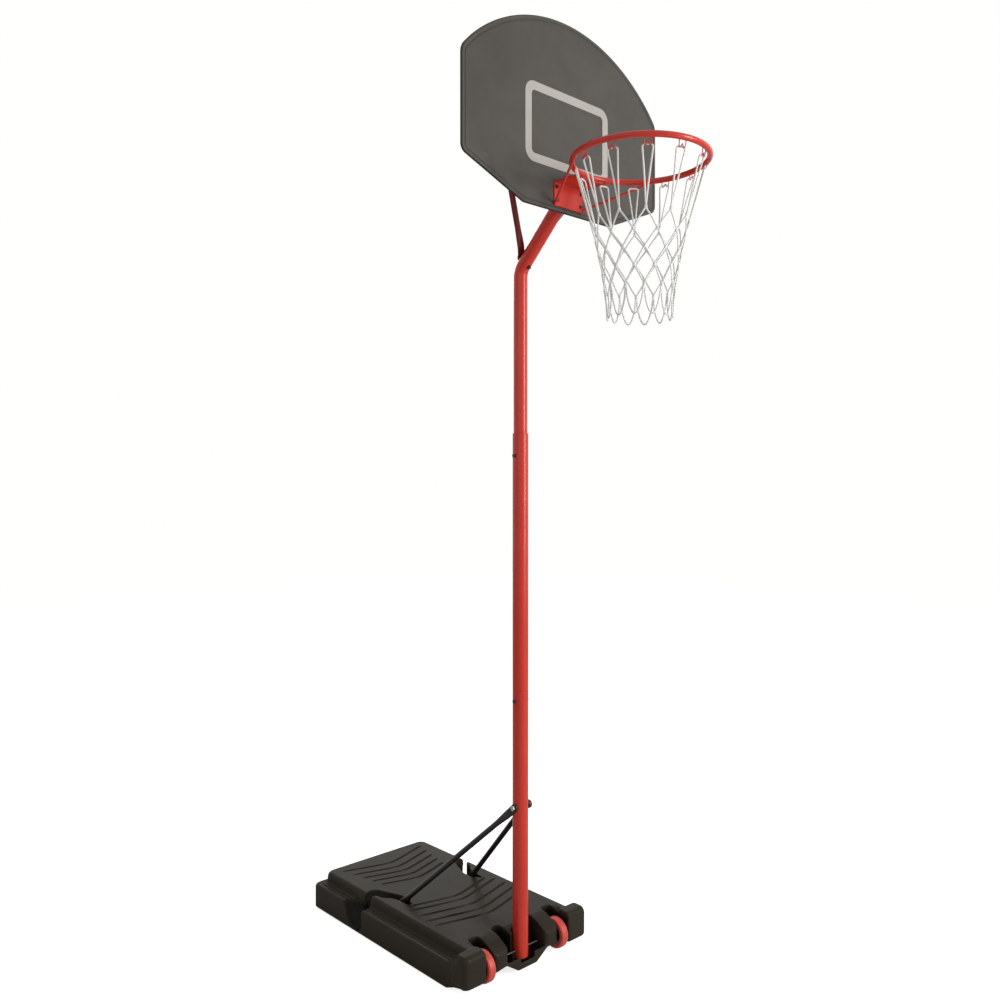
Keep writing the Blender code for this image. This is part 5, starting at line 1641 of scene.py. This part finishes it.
@dataclass
class Rim:
    """The ring with its twelve net hooks, bent bracket and support rods, and the bolts that hold it."""

    radius: float = 0.1603
    tube: float = 0.0071
    z: float = 2.0545
    ahead: float = 0.4031
    face: float = -0.173
    foot: float = 1.9755
    half: float = 0.053
    sheet: float = 0.003
    hooks: int = 12

    @property
    def centre(self) -> Array:
        """Centre of the ring."""
        return np.array([0.0, at(-self.ahead), self.z])

    def ring(self) -> Shape:
        """A torus: ((R + r cos t) cos a, (R + r cos t) sin a, r sin t).

        Returns:
            The closed shape.
        """
        turn = np.arange(224) * TAU / 224
        path = self.centre + self.radius * np.stack([np.cos(turn), np.sin(turn), 0 * turn], 1)
        return swept(path, self.tube, (0, 0, 1), 28, closed=True)

    def hook(self, angle: float) -> Shape:
        """A wire bent to a W under the ring; its two valleys lean inwards to hold the cord.

        Args:
            angle: the hook's place on the ring, in radians.

        Returns:
            The closed shape.
        """
        out = np.array([math.cos(angle), math.sin(angle), 0.0])
        along = np.array([-math.sin(angle), math.cos(angle), 0.0])
        half = [(-0.0092, 0.0, 0.0030), (-0.0091, 0.0, -0.0040), (-0.0087, -0.0012, -0.0104),
                (-0.0076, -0.0022, -0.0150), (-0.0054, -0.0026, -0.0168), (-0.0032, -0.0022, -0.0150),
                (-0.0015, -0.0012, -0.0110), (0.0, 0.0, -0.0090)]
        points = half + [(-s, d, h) for s, d, h in half[-2::-1]]
        path = smooth_path(np.array([self.centre + out * (self.radius - 0.0045 + d) + along * s
                                     + (0, 0, h - 0.0045) for s, d, h in points]), 6)
        return swept(path, 0.00115, out, 10)

    def bracket(self) -> Shape:
        """A bent sheet: one section in Y and Z carried across X, its far end cut to the ring's circle.

        Returns:
            The closed shape.
        """
        front, low, top = self.face - 0.0003, self.foot + 0.0135, self.z - self.tube + 0.001
        sheet, bend, corner = self.sheet, 0.005, 0.0035
        t = np.linspace(0, math.pi / 2, 9)
        arc = np.stack([np.cos(t), np.sin(t)], 1)
        middle = np.array([front - bend, top - bend])
        section = np.vstack([[(front, low)], middle + bend * arc, [(0, top), (0, top - sheet)],
                             middle + (bend - sheet) * arc[::-1], [(front - sheet, low)]])
        x = np.linspace(-self.half, self.half, 49)
        inward = np.minimum(1.0, np.maximum(self.half - np.abs(x), 0) / corner)
        rows = np.empty((len(x), len(section), 3))
        rows[..., 0], rows[..., 1:] = x[:, None], section + (POLE, 0)
        end = at(-self.ahead + np.sqrt((self.radius - 0.001) ** 2 - x * x))
        rows[:, len(t) + 1:len(t) + 3, 1] = end[:, None]
        rows[:, [0, -1], 2] += (corner * (1 - np.sqrt(1 - (1 - inward) ** 2)))[:, None]
        return skin(rows)

    def rod(self) -> Shape:
        """The right support rod, from the bracket's lower corner to the ring, with a weld bead at each end.

        Returns:
            The closed shape.
        """
        angle = math.radians(28.6)
        start = np.array([self.half - 0.0025, at(self.face - 0.002), self.foot + 0.0190])
        end = self.centre + np.array([self.radius * math.cos(angle), self.radius * math.sin(angle),
                                      -self.tube * 0.55])
        way = (end - start) / np.linalg.norm(end - start)
        line = start + np.outer(np.linspace(0, 1, 9), end - start)
        t = np.linspace(-1, 1, 9)
        bead = [swept(spot + np.outer(t, way) * 0.006, 0.0012 + 0.0032 * np.sqrt(np.maximum(1 - t * t, 0)),
                      (0, 1, 0.3), 14) for spot in (start + way * 0.003, end - way * 0.006)]
        return joined(swept(line, 0.0032, (0, 0, 1), 20), *bead)

    def place(self) -> None:
        """Puts in the rim as one piece, and its four bolts and nuts."""
        angles = np.radians(15 + 30 * np.arange(self.hooks))
        rod = self.rod()
        shape = joined(self.ring(), self.bracket(), rod, rod.mirrored(), *(self.hook(a) for a in angles))
        Piece("rim_ring", mesh_of("rim", shape), RED, Body.MAST, ("rim",), sharp=40).place()
        spots = [(sign * x, z) for x, z in ((0.0435, self.foot + 0.0275), (0.0450, self.foot + 0.0605))
                 for sign in (-1, 1)]
        for number, (x, z) in enumerate(spots, 1):
            head, nut = at(self.face - 0.0006 - self.sheet), at(-0.1617)
            bolt = Screw((x, head, z), (0, 1, 0), nut - head + 0.0075, 0.003, 0.0044, 0.0032).shape()
            Piece(f"bracket_bolt_{number}", mesh_of("bolt", bolt), DARK_STEEL, Body.MAST,
                  (f"rim_bolt_{number}",)).place()
            back = Nut((x, nut, z), (0, 1, 0), 0.003, 0.005).shape()
            Piece(f"bracket_nut_{number}", mesh_of("nut", back), ZINC, Body.MAST, (f"rim_nut_{number}",
                  )).place()


@dataclass
class Net:
    """The net: twelve equal cords, each down from one hook to the foot and up to the fifth hook on."""

    centre: tuple[float, float] = (0.0, at(-0.4031))
    rows: tuple[float, ...] = (1.910, 1.868, 1.830, 1.790, 1.748)
    top: float = 2.0355
    top_radius: float = 0.1508
    waist: float = 0.115
    foot: float = 1.682
    foot_radius: float = 0.0765
    cord: float = 0.0020
    count: int = 12

    def radius(self, z: Array) -> Array:
        """The funnel: straight from the hooks to the first knots, then foot + (waist - foot) share^1.6.

        Args:
            z: heights.

        Returns:
            The radius at each height.
        """
        upper = self.waist + (self.top_radius - self.waist) * (z - self.rows[0]) / (self.top - self.rows[0])
        share = np.maximum(z - self.foot, 0) / (self.rows[0] - self.foot)
        return np.where(z > self.rows[0], upper,
                        self.foot_radius + (self.waist - self.foot_radius) * share ** 1.6)

    def route(self) -> Array:
        """One cord's way: listed places down to the last knots, then a sine round the foot.

        Returns:
            Rows of turn in steps of 30 degrees, height, and way out of the funnel.
        """
        corner = 0.0118 / self.top_radius / math.radians(30)
        rise = self.cord * 0.55
        way = [(0, self.top, 0), (-corner * 0.55, self.top, 0), (-corner * 0.9, self.top - 0.0022, 0),
               (-corner, self.top - 0.008, 0)]
        way += [(-corner * (1 - s), self.top - 0.008 + (self.rows[0] - self.top + 0.008) * s, 0)
                for s in (0.33, 0.66, 0.93)]
        for row, z in enumerate(self.rows):
            way += [(row * 0.5, z, rise if row % 2 else -rise)]
            if row < 4:
                way += [(row * 0.5 + 0.25, (z + self.rows[row + 1]) / 2, 0)]
        t = np.linspace(0, math.pi, 15)[1:-1]
        drop = self.rows[-1] - self.foot
        loop = [(2 + a / math.pi, self.rows[-1] - drop * math.sin(a) ** 0.62, 0) for a in t]
        mirror = [(5 - a, z, -d) for a, z, d in way[::-1]]
        return np.array(way + loop + mirror)

    def cords(self) -> Shape:
        """The twelve cords: the route as a smooth curve, turned by 30 degrees for each.

        Returns:
            The closed shape.
        """
        route = smooth_path(self.route(), 8)
        parts = []
        for k in range(self.count):
            angle = np.radians(15 + 30 * (k + route[:, 0]))
            r = self.radius(route[:, 1]) + route[:, 2]
            path = np.stack([self.centre[0] + r * np.cos(angle), self.centre[1] + r * np.sin(angle),
                             route[:, 1]], 1)
            out = np.stack([np.cos(angle), np.sin(angle), 0 * angle], 1)
            length = np.linalg.norm(np.diff(path, axis=0), axis=1).sum()
            parts.append(swept(path, self.cord, out, 8, uv_scale=(length / (TAU * self.cord) * 1.314, 1.314)))
        return joined(*parts)

    def knots(self) -> Shape:
        """A small barrel at each crossing: radius r (1 + bulge sin t) about an upright axis.

        Returns:
            The closed shape.
        """
        turn = np.linspace(0, math.pi, 9)
        profile = np.stack([0.0012 + 0.0026 * np.sin(turn), -0.0040 * np.cos(turn)], 1)
        parts = []
        for row, z in enumerate(self.rows):
            angle = np.radians(15 + 30 * (np.arange(self.count) + 0.5 * (row % 2)))
            r = float(self.radius(np.array(z)))
            for a in angle:
                place = (self.centre[0] + r * math.cos(a), self.centre[1] + r * math.sin(a), z)
                shape = turned([tuple(p) for p in profile], place, (0, 0, 1), 10)
                shape.uv = np.tile(np.array([(0, 0), (0.2, 0), (0.2, 0.2), (0, 0.2)], float),
                                   (len(shape.quads), 1, 1))
                parts.append(shape)
        return joined(*parts)

    def place(self) -> None:
        """Puts in the net."""
        mesh = mesh_of("net", joined(self.cords(), self.knots()))
        Piece("net_cords", mesh, NET, Body.MAST, ("net",), sharp=0).place()


# Camera, light and floor


@dataclass
class Studio:
    """The photograph's camera, a plain soft light and a white ground."""

    eye: Vec = (-1.7149, -2.0976, 1.2839)
    yaw: float = 0.7465
    pitch: float = -0.0125
    lens: float = 33.17
    lamps: tuple[tuple[str, Vec, float, float, float], ...] = (
        ("key", (1.5, -3.7, 1.9), 0.8, 2.6, 95.0), ("fill", (-3.2, -1.6, 2.6), 2.4, 2.4, 9.0),
        ("back", (1.6, 2.8, 3.2), 1.6, 1.6, 22.0))

    def camera(self) -> None:
        """The camera, solved from the photograph."""
        data = bpy.data.cameras.new("photo_camera")
        data.lens, data.sensor_width, data.sensor_fit = self.lens, 36.0, "HORIZONTAL"
        data.clip_start, data.clip_end = 0.05, 60.0
        obj = bpy.data.objects.new("photo_camera", data)
        obj.location = self.eye
        obj.rotation_euler = (math.pi / 2 + self.pitch, 0, -self.yaw)
        bpy.context.scene.collection.objects.link(obj)
        bpy.context.scene.camera = obj

    def lights(self) -> None:
        """Area lamps that all look at the middle of the stand."""
        for name, place, wide, tall, power in self.lamps:
            data = bpy.data.lights.new(name, "AREA")
            data.shape, data.size, data.size_y, data.energy = "ELLIPSE", wide, tall, power
            obj = bpy.data.objects.new(name, data)
            way = np.array([0, -0.2, 1.1]) - np.asarray(place)
            obj.location = place
            obj.rotation_euler = (math.atan2(math.hypot(way[0], way[1]), -way[2]), 0,
                                  math.atan2(-way[0], way[1]))
            bpy.context.scene.collection.objects.link(obj)

    def world(self) -> None:
        """White to the camera, in mirrors and through glass, and a plain grey light for everything else."""
        world = bpy.data.worlds.new("white_room")
        world.use_nodes = True
        world.node_tree.nodes.clear()
        n = Nodes(world.node_tree)
        path = n.add("ShaderNodeLightPath")
        seen = path.outputs["Is Camera Ray"]
        for kind in ("Is Glossy Ray", "Is Transmission Ray"):
            seen = n.add("ShaderNodeMath", operation="MAXIMUM", i0=seen, i1=path.outputs[kind]).outputs[0]
        strength = n.spread(seen, 0.38, 1.0)
        back = n.add("ShaderNodeBackground", Color=(1.0, 1.0, 0.99), Strength=strength)
        n.tree.links.new(back.outputs[0], n.add("ShaderNodeOutputWorld").inputs[0])
        bpy.context.scene.world = world

    def floor(self) -> None:
        """A wide floor, white as it is seen, with a share of shading that keeps the object's shadow."""
        outline = rounded([(-9, -9, 3), (9, -9, 3), (9, 9, 3), (-9, 9, 3)], 12)
        mesh = mesh_of("floor", pulled(outline, Plane.XY, -0.01, 0.0))
        made = bpy.data.materials.new("white_floor")
        made.use_nodes = True
        n = Nodes(made.node_tree)
        shader = made.node_tree.nodes["Principled BSDF"]
        path = n.add("ShaderNodeLightPath").outputs["Is Camera Ray"]
        shader.inputs["Base Color"].default_value = (0.8, 0.8, 0.79, 1)
        shader.inputs["Roughness"].default_value = 0.9
        shader.inputs["Specular IOR Level"].default_value = 0.1
        shader.inputs["Emission Color"].default_value = (1, 1, 0.99, 1)
        glow = n.spread(path, 0.0, 0.80)
        made.node_tree.links.new(glow, shader.inputs["Emission Strength"])
        mesh.materials.append(made)
        obj = bpy.data.objects.new("floor", mesh)
        bpy.context.scene.collection.objects.link(obj)

    def place(self) -> None:
        """Sets up everything round the object."""
        self.camera()
        self.lights()
        self.world()
        self.floor()
        bpy.context.scene.view_settings.view_transform = "Standard"


def main() -> None:
    """Builds the stand from the ground up, then the studio."""
    logging.basicConfig(level=logging.INFO, format="%(name)s: %(message)s")
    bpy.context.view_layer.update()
    for part in (Tank(), Bung(), Wheels(), Pole(), Struts(), Braces(), Board(), Rim(), Net(), Studio()):
        log.info("building %s", type(part).__name__)
        part.place()


if __name__ == "__main__":
    main()
